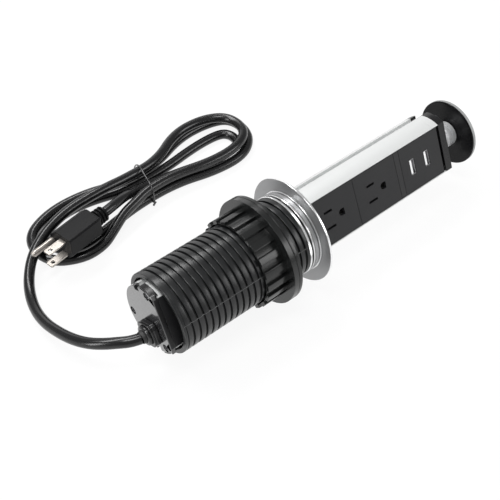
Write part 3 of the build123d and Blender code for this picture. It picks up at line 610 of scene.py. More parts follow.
    def carve(self, *cutters: "Shape") -> "Shape":
        """Take the cutters' space out of the shape."""
        tool = Shape().join(*cutters)
        pair = [self._store(shape, name) for shape, name in ((self, "stock"), (tool, "cutter"))]
        cut = pair[0].modifiers.new("cut", "BOOLEAN")
        cut.operation, cut.solver, cut.object, cut.use_self = "DIFFERENCE", "EXACT", pair[1], True
        graph = bpy.context.evaluated_depsgraph_get()
        result = bpy.data.meshes.new_from_object(pair[0].evaluated_get(graph), depsgraph=graph)
        self.mesh = bmesh.new()
        self.mesh.from_mesh(result)
        bpy.data.meshes.remove(result)
        for item in pair:
            store = item.data
            bpy.data.objects.remove(item)
            bpy.data.meshes.remove(store)
        return self._clean()

    @staticmethod
    def _store(shape: "Shape", name: str) -> bpy.types.Object:
        """A bmesh as an object in the scene, and free it."""
        store = bpy.data.meshes.new(name)
        shape.mesh.to_mesh(store)
        shape.mesh.free()
        return link(name, store)

    def piece(
        self, name: str, finish: Finish, body: Body, slot: str, replaces: Sequence[str] = (),
        place: Matrix | None = None, sharp: float = 38.0,
    ) -> bpy.types.Object:
        """Finish the shape as an object of the scene.

        Args:
            name: The object's name.
            finish: Its finish.
            body: The body that it rides on.
            slot: Not used.
            replaces: The nodes that it stands for.
            place: Matrix to metres in the world; the tower's by default.
            sharp: Edges that turn by more degrees than this stay crisp.

        Returns:
            The object.
        """
        self.move(TOWER.place() if place is None else place)
        limit = math.radians(sharp)
        for edge in self.mesh.edges:
            edge.smooth = edge.calc_face_angle(0.0) < limit
        for face in self.mesh.faces:
            face.smooth = True
        data = bpy.data.meshes.new(name)
        self.mesh.to_mesh(data)
        self.mesh.free()
        item = link(name, data)
        normals = item.modifiers.new("flat faces", "WEIGHTED_NORMAL")
        normals.keep_sharp = True
        dress(item, finish, body, replaces)
        LOG.info("%s: %d faces", name, len(data.polygons))
        return item


def dress(
    item: bpy.types.Object, finish: Finish, body: Body, replaces: Sequence[str] = ()
) -> None:
    """Give an object its finish and body, and hide the nodes that it stands for."""
    item.data.materials.clear()
    item.data.materials.append(finish.material())
    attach(item, body.value)
    if replaces:
        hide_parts(*replaces)


def angle_at(height: float, radius: float) -> float:
    """Angle in degrees at which a circle round the origin passes a height."""
    return math.degrees(math.asin(height / radius))


def arc(
    radius: float, first: float, last: float, steps: int, centre: Pair = (0.0, 0.0)
) -> list[Pair]:
    """Points of an arc, in degrees from the first local axis."""
    turns = [math.radians(first + (last - first) * index / steps) for index in range(steps + 1)]
    return [(centre[0] + radius * math.cos(t), centre[1] + radius * math.sin(t)) for t in turns]


def tube(
    name: str, paths: Sequence[Sequence[Triple]], radius: float, sides: int, steps: int
) -> bpy.types.Object:
    """Round tubes along open smooth splines, as one curve object in metres."""
    data = bpy.data.curves.new(name, "CURVE")
    data.dimensions = "3D"
    data.bevel_depth, data.bevel_resolution, data.resolution_u = radius, sides, steps
    data.use_fill_caps = True
    for points in paths:
        spline = data.splines.new("NURBS")
        spline.points.add(len(points) - 1)
        for point, place in zip(spline.points, points):
            point.co = (*place, 1.0)
        spline.order_u = 3
        spline.use_endpoint_u = True
    return link(name, data)


# ---------------------------------------------------------------- housing


@dataclass
class Housing:
    """Bezel ring, threaded sleeve, collar and pads."""

    flange_radius: float = 41.0
    flange_top: float = 2.0
    neck_radius: float = 31.0
    neck_end: float = -9.3
    recess_radius: float = 27.1
    recess_depth: float = 5.0
    bezel_steps: int = 192
    spigot_radius: float = 28.5
    groove: Pair = (-7.6, -6.0)
    groove_radius: float = 30.2
    groove_floor: float = 29.0
    fine_lines: tuple[float, ...] = (-4.6, -1.5, -0.9)
    line_depth: float = 0.3
    line_floor: Pair = (30.0, 30.88)
    knurl_teeth: int = 150
    knurl_depth: float = 0.28
    core: Pair = (-12.0, -3.0)
    sleeve_radius: float = 30.6
    sleeve_bore: float = 27.3
    sleeve_socket: float = 28.4
    sleeve_end: float = -118.1
    sleeve_top: float = -9.4
    spigot_top: float = -3.1
    thread_pitch: float = 5.2
    thread_root: float = 29.1
    land_width: float = 3.6
    land_edge: float = 0.5
    land_steps: int = 96
    end_land: float = 2.2
    seam_angle: float = 1.5
    seam_pitch: float = 1.3
    seam_parts: int = 83
    seam_half: float = 0.11
    seam_height: float = 0.06

    def bezel(self) -> Shape:
        """Flange with a recess for the cap, and a neck with turned lines."""
        neck, rim, well = self.neck_radius, self.flange_radius, self.recess_radius
        top, foot, step = self.flange_top, self.neck_end + 0.1, self.groove[1]
        outline: list[Pair] = [
            (foot, self.spigot_radius), (foot, self.groove_radius), (step, self.groove_radius),
            (step, neck - 0.15), (step + 0.25, neck),
        ]
        for line in sorted(self.fine_lines):
            outline += [
                (line - 0.2, neck), (line - 0.15, neck - self.line_depth),
                (line + 0.15, neck - self.line_depth), (line + 0.2, neck),
            ]
        outline += [
            (-0.35, neck), (-0.1, neck + 0.1), (0.0, neck + 0.35), (0.0, rim - 0.35),
            (0.12, rim - 0.1), (0.35, rim), (top - 0.75, rim), (top - 0.2, rim - 0.2),
            (top, rim - 0.75), (top, well + 0.6), (top - 0.15, well + 0.15), (top - 0.6, well),
            (top - self.recess_depth, well), (top - self.recess_depth, self.spigot_radius),
        ]
        return Shape.lathe(outline, self.bezel_steps)

    def groove_painted_shade(self) -> Shape:
        """Dark rings in the floors of the neck's groove and of its fine lines, as painted shade."""
        spans = [(*self.groove, self.groove_floor, self.groove_radius + 0.25)]
        spans += [(line - 0.16, line + 0.16, *self.line_floor) for line in self.fine_lines]
        made = Shape()
        for low, high, floor, top in spans:
            outline = [(low, floor), (low, top), (high, top), (high, floor)]
            made.join(Shape.lathe(outline, BIG_ROUND))
        return made

    def knurl(self) -> Shape:
        """Narrow knurled band at the foot of the neck."""
        width = self.groove[0] - self.neck_end - 0.1
        teeth = []
        for index in range(2 * self.knurl_teeth):
            radius = self.neck_radius - (self.knurl_depth if index % 2 else 0.0)
            turn = math.tau * index / (2 * self.knurl_teeth)
            teeth.append((radius * math.cos(turn), radius * math.sin(turn)))
        band = Shape.prism(teeth, self.neck_end + 0.05, width)
        (low, high), radius = self.core, self.spigot_radius + 0.6
        core = Shape.lathe([(low, 0.0), (low, radius), (high, radius), (high, 0.0)])
        return band.carve(core)

    def sleeve(self) -> Shape:
        """Tube with a plain land at each end and a helical land between them."""
        outer, bore, socket = self.sleeve_radius, self.sleeve_bore, self.sleeve_socket
        end, top, root = self.sleeve_end, self.sleeve_top, self.thread_root
        foot, head = end + self.end_land, top - self.end_land
        tube = Shape.lathe([
            (end, bore + 0.3), (end, outer - 0.5), (end + 0.15, outer - 0.15), (end + 0.5, outer),
            (foot - 0.3, outer), (foot, outer - 0.3), (foot, root), (head, root),
            (head, outer - 0.3), (head + 0.3, outer), (top - 0.3, outer), (top, outer - 0.3),
            (top, socket), (self.spigot_top, socket), (self.spigot_top, bore), (end + 0.3, bore),
        ], BIG_ROUND)
        low, far, soft = root - 0.3, self.land_width, self.land_edge
        land = Shape()
        corners = [
            (0.0, low), (0.0, outer - soft), (soft * 0.3, outer - soft * 0.3), (soft, outer),
            (far - soft, outer), (far - soft * 0.3, outer - soft * 0.3), (far, outer - soft),
            (far, low),
        ]
        start = foot - self.thread_pitch
        verts = [land.mesh.verts.new((start + station, 0.0, radius)) for station, radius in corners]
        face = land.mesh.faces.new(verts)
        turns = (head - start) / self.thread_pitch
        steps = int(turns * self.land_steps)
        geom = [*verts, *face.edges, face]
        land.spin(geom, steps, math.tau * turns, self.thread_pitch * turns / steps, False)
        land.slice((foot - 0.6, 0.0, 0.0), (-1.0, 0.0, 0.0))
        land.slice((head + 0.6, 0.0, 0.0), (1.0, 0.0, 0.0))
        return tube.join(land)

    def parting_line(self) -> Shape:
        """Thin raised seam along the sleeve where the mould halves met; its lighter finish is a
        painted highlight.
        """
        made = Shape()
        for index in range(self.seam_parts):
            station = self.sleeve_end + 0.6 + index * self.seam_pitch
            drift = 0.12 * math.sin(index * 1.7) + 0.08 * math.sin(index * 0.6)
            low = (station, drift - self.seam_half, self.sleeve_radius - 0.6)
            high = (
                station + self.seam_pitch + 0.02, drift + self.seam_half,
                self.sleeve_radius + self.seam_height,
            )
            made.join(Shape.block(low, high))
        return made.turn(self.seam_angle)

    def build(self, finishes: Finishes, nodes: dict[str, bpy.types.Object]) -> None:
        """Make and dress the housing's pieces."""
        self.bezel().piece("bezel", finishes.bezel, Body.HOUSING, "bezel_metal", ["bezel_ring"])
        # Dark rings in the neck's groove and fine lines are painted shade.
        self.groove_painted_shade().piece("bezel_dark_lines", finishes.block, Body.HOUSING, "sleeve_plastic")
        self.knurl().piece("bezel_knurl", finishes.bezel, Body.HOUSING, "bezel_metal", sharp=20.0)
        self.sleeve().piece(
            "threaded_sleeve", finishes.sleeve, Body.HOUSING, "sleeve_plastic", ["guide_sleeve"]
        )
        # The seam's lighter finish is a painted highlight.
        self.parting_line().piece(
            "sleeve_parting_line", finishes.seam_painted_highlight, Body.HOUSING, "sleeve_plastic"
        )
        dress(nodes["guide_collar"], finishes.block, Body.HOUSING)
        dress(nodes["friction_pads"], finishes.felt, Body.HOUSING)


@dataclass
class Clamp:
    """Slip washer and lobed nut that pull the flange down on the desk."""

    bore: float = 31.1
    nut_bore: float = 31.8
    flange_radius: float = 41.0
    washer: Pair = (-28.7, -25.9)
    nut_top: float = -29.0
    flange_back: float = -33.1
    grip_end: float = -51.1
    core_radius: float = 32.45
    lobe_radius: float = 34.5
    lobes: int = 20
    lobe_share: float = 0.5

    def washer_ring(self) -> Shape:
        """Flat ring with rounded rims."""
        low, high = self.washer
        bore, rim = self.bore, self.flange_radius
        ring = Shape.lathe([(high, bore), (high, rim), (low, rim), (low, bore)], BIG_ROUND)
        return ring.soften(0.4, 3)

    def nut(self) -> Shape:
        """Flange and core turned in one, with flat-topped lobes round the grip."""
        bore, core, rim = self.nut_bore, self.core_radius, self.flange_radius
        end, back, top = self.grip_end + 0.4, self.flange_back, self.nut_top
        ring = Shape.lathe([
            (end, bore), (end, core - 0.4), (end + 0.5, core), (back, core), (back, rim),
            (top, rim), (top, bore),
        ], BIG_ROUND).soften(0.35, 3)
        share = math.pi * self.lobe_share / self.lobes
        width, half = 2.0 * self.lobe_radius * math.sin(share), math.degrees(share)
        top = arc(self.lobe_radius, 90.0 + half, 90.0 - half, 4)
        foot = self.core_radius - 1.0
        outline = [(-width / 2, foot), *top, (width / 2, foot)]
        lobe = Shape.prism(outline, self.grip_end, self.flange_back - self.grip_end + 0.5)
        lobe.soften(0.3, 2, SOFT_CORNER)
        return ring.join(lobe.ring_of(self.lobes))

    def build(self, finishes: Finishes) -> None:
        """Make and dress the washer and the nut."""
        self.washer_ring().piece(
            "slip_washer", finishes.nut, Body.CLAMP_RING, "nut_plastic", ["clamp_washer"]
        )
        self.nut().piece("lobed_nut", finishes.nut, Body.CLAMP_NUT, "nut_plastic", ["clamp_nut"])


# ---------------------------------------------------------------- tower


@dataclass
class Tower:
    """Rail, panels, sockets, end block and bottom cap."""

    radius: float = 25.5
    face: float = 16.2
    wall: float = 1.6
    bottom: float = -121.1
    top: float = 142.4
    rear_top: float = 135.9
    rear_step: float = -4.7
    channel_depth: float = 3.0
    channel_width: float = 5.4
    channel_middle: float = -2.0
    pocket_half: float = 19.25
    ledge: float = 13.6
    throat_half: float = 16.3
    base_face: float = -125.1
    lug_reach: float = 28.6
    lug_half: float = 3.5
    grip_radius: float = 26.9
    grip_length: float = 4.7
    ports: tuple[Pair, ...] = ((0.0, -21.4), (20.49, 8.61), (-20.49, 8.61))
    screw_radius: float = 2.6
    lug_root: float = 20.6
    lug_height: float = 3.0
    notch_depth: float = 3.2
    notch: Pair = (-4.5, 0.5)
    rail_edge: float = 0.22
    cap_edge_round: float = 0.35
    carried: tuple[tuple[str, str, tuple[str, ...]], ...] = (
        (
            "panel", "panel_plastic",
            ("blank_panel", "outlet_face_lower", "outlet_face_upper", "usb_face"),
        ),
        ("spacer", "panel_plastic", ("spacer_strip",)),
        ("body", "body_plastic", ("outlet_body_lower", "outlet_body_upper")),
        ("brass", "contact_metal", ("line_busbar", "neutral_busbar", "ground_busbar")),
        ("shell", "socket_metal", ("usb_shells",)), ("tongue", "tongue_plastic", ("usb_tongues",)),
        ("board", "board_green", ("usb_board",)), ("wire", "wire_jacket", ("core_wires",)),
        ("block", "cap_plastic", ("end_block",)), ("dark_screw", "screw_metal", ("top_screws",)),
    )

    @property
    def half_turn(self) -> float:
        """Angle in degrees from the tower's middle plane to an edge of its flat face."""
        return angle_at(self.face, self.radius)

    def _outer(self, radius: float) -> list[Pair]:
        """Outside of the rail from one panel edge round the back to the other."""
        floor = self.radius - self.channel_depth
        low = self.channel_middle - self.channel_width / 2
        high = self.channel_middle + self.channel_width / 2
        first = angle_at(self.face, radius)
        upper = angle_at(high, radius)
        lower = angle_at(low, radius)
        right = arc(radius, first, upper, 12)
        back = arc(radius, lower, -180.0 - lower, 60)
        left = arc(radius, 180.0 - upper, 180.0 - first, 12)
        return [*right, (floor, high), (floor, low), *back, (-floor, low), (-floor, high), *left]

    def section(self) -> list[Pair]:
        """The rail's drawn section: an open C with a ledge for the panels."""
        face, ledge, pocket, throat = self.face, self.ledge, self.pocket_half, self.throat_half
        inner = self.radius - self.wall
        bulge = self.radius - self.channel_depth - self.wall
        low = self.channel_middle - self.channel_width / 2 - self.wall
        high = self.channel_middle + self.channel_width / 2 + self.wall
        under = ledge - self.wall
        start = angle_at(under, inner)
        upper = angle_at(high, inner)
        lower = angle_at(low, inner)
        left = arc(inner, 180.0 - start, 180.0 - upper, 6)
        back = arc(inner, -180.0 - lower, lower, 48)
        right = arc(inner, upper, start, 6)
        return [
            *self._outer(self.radius), (-pocket, face), (-pocket, ledge), (-throat, ledge),
            (-throat, under), *left, (-bulge, high), (-bulge, low), *back, (bulge, low),
            (bulge, high), *right, (throat, under), (throat, ledge), (pocket, ledge),
            (pocket, face),
        ]

    def rail(self) -> Shape:
        """Drawn rail whose rear half stops short of the end block."""
        whole = Shape.prism(self.section(), self.bottom, self.rear_top - self.bottom)
        front = Shape.prism(self.section(), self.rear_top - 0.01, self.top - self.rear_top + 0.01)
        front.slice((0.0, 0.0, self.rear_step + 0.02), (0.0, 0.0, -1.0))
        return whole.soften(self.rail_edge, 2, SOFT_CORNER).join(
            front.soften(self.rail_edge, 2, SOFT_CORNER)
        )

    def bottom_cap(self) -> Shape:
        """Glossy cap with two lugs, two notches and pockets for its screws."""
        half = self.half_turn
        outline = arc(self.radius, 180.0 - half, 360.0 + half, 96)
        plate = Shape.prism(outline, self.base_face, self.bottom - self.base_face)
        inner = self.radius - self.notch_depth
        notches = [
            Shape.block(
                (self.base_face - 1, low, self.notch[0]), (self.bottom + 1, high, self.notch[1])
            )
            for low, high in ((inner, self.radius + 1), (-self.radius - 1, -inner))
        ]
        wells = [
            Shape.rod(
                (self.base_face - 1.0, u, v), (self.base_face + 1.4, u, v), self.screw_radius + 0.35
            )
            for u, v in self.ports
        ]
        plate.carve(*notches, *wells).soften(self.cap_edge_round, 2, SOFT_CORNER)
        lugs = Shape()
        for angle in (half, 180.0 - half):
            middle = (self.lug_reach - self.lug_half, 0.0)
            end = arc(self.lug_half, -90.0, 90.0, 12, middle)
            outline = [(self.lug_root, -self.lug_half), *end, (self.lug_root, self.lug_half)]
            lug = Shape.prism(outline, self.base_face, self.lug_height).turn(angle)
            lug.slice((0.0, 0.0, self.face - 0.02), (0.0, 0.0, 1.0))
            lugs.join(lug.soften(self.cap_edge_round, 2, SOFT_CORNER))
        return plate.join(lugs)

    def cap_edge(self) -> Shape:
        """Dark strip set in the base cap's edge under the panels."""
        reach = math.sqrt(self.radius**2 - self.face**2) - 0.6
        low, high = self.base_face + 0.55, self.bottom - 0.3
        return Shape.block(
            (low, -reach, self.face - 0.6), (high, reach, self.face + 0.05)
        ).soften(0.04, 1)

    def grips(self) -> Shape:
        """Raised plates on the base cap's side, one at each end of its round wall."""
        half = self.half_turn
        made = Shape()
        for first, last in ((6.0, half - 3.0), (183.0 - half, 174.0)):
            inside = arc(self.radius - 0.6, first, last, 12)
            outside = arc(self.grip_radius, last, first, 12)
            plate = Shape.prism([*inside, *outside], self.base_face + 0.4, self.grip_length)
            made.join(plate.soften(0.4, 3, SOFT_CORNER))
        return made

    def bottom_screws(self) -> Shape:
        """Pan heads with a cross recess, sunk in the cap."""
        made = Shape()
        for u, v in self.ports:
            outline = [(-1.2, 0.0), (-1.1, 1.2), (-0.7, 2.1), (0.0, 2.5), (10.0, 1.3), (10.0, 0.0)]
            head = Shape.lathe(outline, 32, False)
            cross = [
                Shape.block((-1.6, -1.6, -0.28), (-0.3, 1.6, 0.28)),
                Shape.block((-1.6, -0.28, -1.6), (-0.3, 0.28, 1.6)),
            ]
            head = head.carve(*cross)
            made.join(head.move(Matrix.Translation((self.base_face + 1.2, u, v))))
        return made

    def build(self, finishes: Finishes, nodes: dict[str, bpy.types.Object]) -> None:
        """Make and dress the tower's pieces."""
        self.rail().piece("drawn_rail", finishes.rail, Body.TOWER, "rail_metal", ["tower_rail"])
        self.bottom_cap().piece(
            "base_cap", finishes.gloss, Body.TOWER, "cap_plastic", ["bottom_cap"]
        )
        self.grips().piece("base_cap_grips", finishes.block, Body.TOWER, "cap_plastic")
        self.cap_edge().piece("base_cap_edge", finishes.block, Body.TOWER, "cap_plastic")
        self.bottom_screws().piece(
            "base_screws", finishes.dark_screw, Body.TOWER, "screw_metal", ["bottom_screws"]
        )
        for finish, slot, group in self.carried:
            for node in group:
                dress(nodes[node], getattr(finishes, finish), Body.TOWER)


@dataclass
class Gland:
    """Cable gland: square base, domed nut and the bush round the cord."""

    centre: Pair = (-9.5, -1.0)
    seat: float = -130.6
    base_face: float = -125.1
    mouth: float = -132.9
    lip: float = -135.2
    half: float = 8.7
    corner: float = 4.6
    plate: float = 1.1
    groove_width: float = 0.5
    dome_radius: float = 7.6
    bush_radius: float = 5.9
    bush_foot: float = -118.1
    cord_bore: float = 3.9

    @staticmethod
    def _pad(start: float, end: float, half: float, corner: float) -> Shape:
        """Square block with rounded corners between two stations."""
        pad = Shape.block((start, -half, -half), (end, half, half))
        return pad.bevel(pad.edges_along(0.1), corner, 6)

    def base(self) -> Shape:
        """Square foot with soft corners and a groove behind its front plate."""
        front, groove = self.seat + self.plate, self.seat + self.plate + self.groove_width
        plate = self._pad(self.seat, front, self.half, self.corner).soften(0.35, 3, 60.0)
        core = self._pad(self.seat + 0.3, groove + 0.3, self.half - 0.7, self.corner - 0.6)
        foot = self._pad(groove, self.base_face, self.half, self.corner).soften(0.9, 4, 60.0)
        return foot.join(core, plate)

    def dome(self) -> Shape:
        """Domed nut with a waist next to the foot and a lip at its mouth."""
        r, m, s = self.dome_radius, self.mouth, self.seat
        return Shape.lathe([
            (m + 0.5, 4.9), (m, 5.05), (m, 5.9), (m + 0.2, 6.6), (m + 0.6, 7.15), (m + 1.1, 7.5),
            (m + 1.5, r), (s - 0.55, r - 0.05), (s - 0.4, r - 0.3), (s - 0.35, r - 0.9),
            (s + 0.1, r - 0.9), (s + 0.1, 6.1), (m + 1.3, 6.1), (m + 1.2, 4.9),
        ], SMALL_ROUND)

    def bush(self) -> Shape:
        """Rubber bush with a rounded lip that grips the cord."""
        e, m = self.lip, self.mouth
        return Shape.lathe([
            (e + 0.15, self.cord_bore), (e, 4.12), (e + 0.1, 4.35), (e + 0.5, 4.5), (m, 4.8),
            (m + 1.3, 4.8), (m + 1.3, self.bush_radius), (self.bush_foot, self.bush_radius),
            (self.bush_foot, self.cord_bore),
        ], 64)

    def build(self, finishes: Finishes) -> None:
        """Make and dress the gland."""
        place = TOWER.place(*self.centre)
        self.base().piece(
            "gland_foot", finishes.gland, Body.TOWER, "cap_plastic", ["gland_base"], place
        )
        self.dome().piece(
            "gland_dome", finishes.gland, Body.TOWER, "cap_plastic", ["gland_nut"], place
        )
        self.bush().piece(
            "gland_seal", finishes.rubber, Body.TOWER, "gland_rubber", ["gland_bush"], place
        )


@dataclass
class Plunger:
    """Cap on its stem, which presses in to let the tower go."""

    stem_radius: float = 10.0
    stem_foot: float = 140.9
    flange_top: float = 142.3
    line: float = 161.4
    underside: float = 165.3
    disc_top: float = 166.3
    top: float = 169.0
    radius: float = 26.5
    stem_flange: float = 11.5
    stem_bore: float = 3.3
    screw_bore: float = 1.7
    bore_end: float = 155.3
    fine_line: float = 156.9
    slot: Pair = (150.6, 155.4)
    slot_half: float = 1.1
    slot_depth: float = 1.6
    slot_angle: float = -48.0

    def stem(self) -> Shape:
        """Polished stem with a ring line and a small slot sunk in its side."""
        r, fine, line = self.stem_radius, self.fine_line, self.line
        body = Shape.lathe([
            (self.stem_foot, self.stem_bore), (self.stem_foot, self.stem_flange),
            (self.flange_top, self.stem_flange), (self.flange_top, r), (fine, r),
            (fine + 0.1, r - 0.12), (fine + 0.4, r - 0.12), (fine + 0.5, r), (line, r),
            (line + 0.05, r - 1.3), (line + 0.9, r - 1.3), (line + 0.95, r), (self.underside, r),
            (self.underside, self.screw_bore), (self.bore_end, self.screw_bore),
            (self.bore_end, self.stem_bore),
        ], SMALL_ROUND)
        low, high = self.slot
        slot = Shape.block(
            (low, -self.slot_half, r - self.slot_depth), (high, self.slot_half, r + 1.0)
        )
        return body.carve(slot.turn(self.slot_angle)).soften(0.12, 2, 50.0)

    def disc(self) -> Shape:
        """Cap underside, dished and glossy."""
        u, t, r = self.underside, self.disc_top, self.radius
        return Shape.lathe([
            (u, self.screw_bore), (u, self.stem_radius - 0.1), (u + 0.55, 10.3), (u + 0.85, 11.2),
            (u + 0.82, 14.0), (u + 0.62, 18.0), (u + 0.35, 22.0), (u + 0.08, r - 1.2),
            (u + 0.1, r - 0.5), (u + 0.35, r - 0.12), (u + 0.7, r), (t, r), (t, self.screw_bore),
        ], BIG_ROUND)

    def trim(self) -> Shape:
        """Metal top of the cap with a rounded rim."""
        t, top, r = self.disc_top, self.top, self.radius
        return Shape.lathe([
            (t, self.screw_bore), (t, r - 0.25), (t + 0.2, r), (top - 0.7, r), (top - 0.2, r - 0.2),
            (top, r - 0.7), (top, r - 2.2), (top - 0.08, r - 2.35), (top - 0.08, 0.0),
            (t + 1.1, 0.0), (t + 1.1, self.screw_bore),
        ], BIG_ROUND, False)

    def build(self, finishes: Finishes, nodes: dict[str, bpy.types.Object]) -> None:
        """Make and dress the plunger."""
        self.stem().piece("plunger_stem", finishes.stem, Body.PLUNGER, "stem_metal", ["cap_stem"])
        self.disc().piece("cap_underside", finishes.dish, Body.PLUNGER, "cap_plastic", ["cap_disc"])
        self.trim().piece("cap_top_trim", finishes.trim, Body.PLUNGER, "trim_metal", ["cap_trim"])
        dress(nodes["cap_screw"], finishes.screw, Body.PLUNGER)


# ---------------------------------------------------------------- cord and plug


@dataclass
class Cord:
    """Mains cord, in metres: a free bend from the gland, then a hank of three loops."""

    diameter: float = 0.008
    length: float = 1.49
    exit: Triple = (-0.1521, -0.003046, 0.031946)
    lead: Triple = (-0.1583, -0.0013, 0.0320)
    bend: tuple[Triple, ...] = (
        (-0.1651, 0.0036, 0.0316), (-0.1724, 0.0105, 0.0296), (-0.1790, 0.0200, 0.0263),
        (-0.1836, 0.0330, 0.0219), (-0.1859, 0.0483, 0.0166), (-0.1867, 0.0645, 0.0112),
        (-0.1848, 0.0816, 0.0068), (-0.1797, 0.0982, 0.0050), (-0.1723, 0.1120, 0.0064),
        (-0.1610, 0.1240, 0.0116), (-0.1460, 0.1325, 0.0160), (-0.1300, 0.1378, 0.0188),
        (-0.1136, 0.1408, 0.0200), (-0.0961, 0.1419, 0.0198), (-0.0793, 0.1429, 0.0188),
        (-0.0640, 0.1436, 0.0168),
    )
    waist_x: float = -0.048
    waist_far: Triple = (0.1465, 0.152, 0.143)
    waist_near: Triple = (0.1245, 0.124, 0.1337)
    right_middle: Triple = (0.142, 0.1415, 0.1382)
    right_lean: Triple = (0.0, 0.0045, 0.0)
    right_tip: Triple = (0.051, 0.0575, 0.0437)
    right_half: Triple = (0.0235, 0.0258, 0.0117)
    right_shoulder: Triple = (0.031, 0.030, 0.012)
    left_entry: tuple[tuple[Triple, ...], ...] = (
        (
            (-0.0560, 0.1240, 0.0143), (-0.0700, 0.1200, 0.0131), (-0.0840, 0.1165, 0.0118),
            (-0.0975, 0.1106, 0.0078), (-0.1110, 0.1052, 0.0040),
        ),
        ((-0.0655, 0.1240, 0.0048), (-0.0945, 0.1192, 0.0040)),
    )
    left_middle: float = 0.1335
    left_tip: Pair = (-0.1525, -0.1405)
    left_half: Pair = (0.0287, 0.0200)
    left_near: Pair = (0.034, 0.0275)
    left_far: Pair = (0.043, 0.0285)
    level: Triple = (0.0131, 0.004, 0.004)
    waist_lift: float = 0.0012
    waist_share: float = 0.27
    corner_share: float = 0.36
    tip_share: float = 0.64
    end: tuple[Triple, ...] = (
        (-0.0600, 0.1340, 0.0085), (-0.0745, 0.1280, 0.0165), (-0.0903, 0.12155, 0.020),
        (-0.0982, 0.1201, 0.020),
    )

    def turn(self, index: int) -> list[Triple]:
        """Points of one loop of the hank, from its far side at the waist round to the next."""
        x, z = self.waist_x, self.level[index]
        far, near = self.waist_far[index], self.waist_near[index]
        sizes = (self.right_tip, self.right_half, self.right_shoulder)
        tip, half, shoulder = (size[index] for size in sizes)
        base, middle, lean = tip - shoulder, self.right_middle[index], self.right_lean[index]
        reach = self.waist_share * (base - x)
        waist, corner = z + self.waist_lift, base + self.corner_share * shoulder
        points = [
            (x + reach, far, waist), (base - reach, middle + half, z), (corner, middle + half, z),
            (tip, middle + lean + 0.5 * half, z), (tip, middle + lean - 0.5 * half, z),
            (corner, middle - half, z), (base - reach, middle - half, z), (x + reach, near, waist),
        ]
        if index < len(self.left_tip):
            ground = self.level[1]
            tip, half, middle = self.left_tip[index], self.left_half[index], self.left_middle
            low, high = self.left_near[index], self.left_far[index]
            following = self.waist_far[index + 1]
            back = self.waist_share * (x - tip - high)
            points += [
                *self.left_entry[index], (tip + low * self.tip_share, middle - half, ground),
                (tip, middle - 0.52 * half, ground), (tip, middle + 0.52 * half, ground),
                (tip + high * self.tip_share, middle + half, ground),
                (tip + high + back, middle + half, ground),
                (x - back, following, ground + self.waist_lift),
            ]
        return points

    def curve(self) -> bpy.types.Object:
        """The whole cord as one smooth spline."""
        points = [self.exit, self.lead, *self.bend]
        for index in range(len(self.right_tip)):
            points += self.turn(index)
        points += self.end
        return tube("mains_cord", [points], self.diameter / 2, 7, 10)

    def build(self, finishes: Finishes, pieces: Sequence[bpy.types.Object]) -> bpy.types.Object:
        item = self.curve()
        dress(item, finishes.cord, Body.TOWER, ["cord_tube", "cord_hank"])
        return item


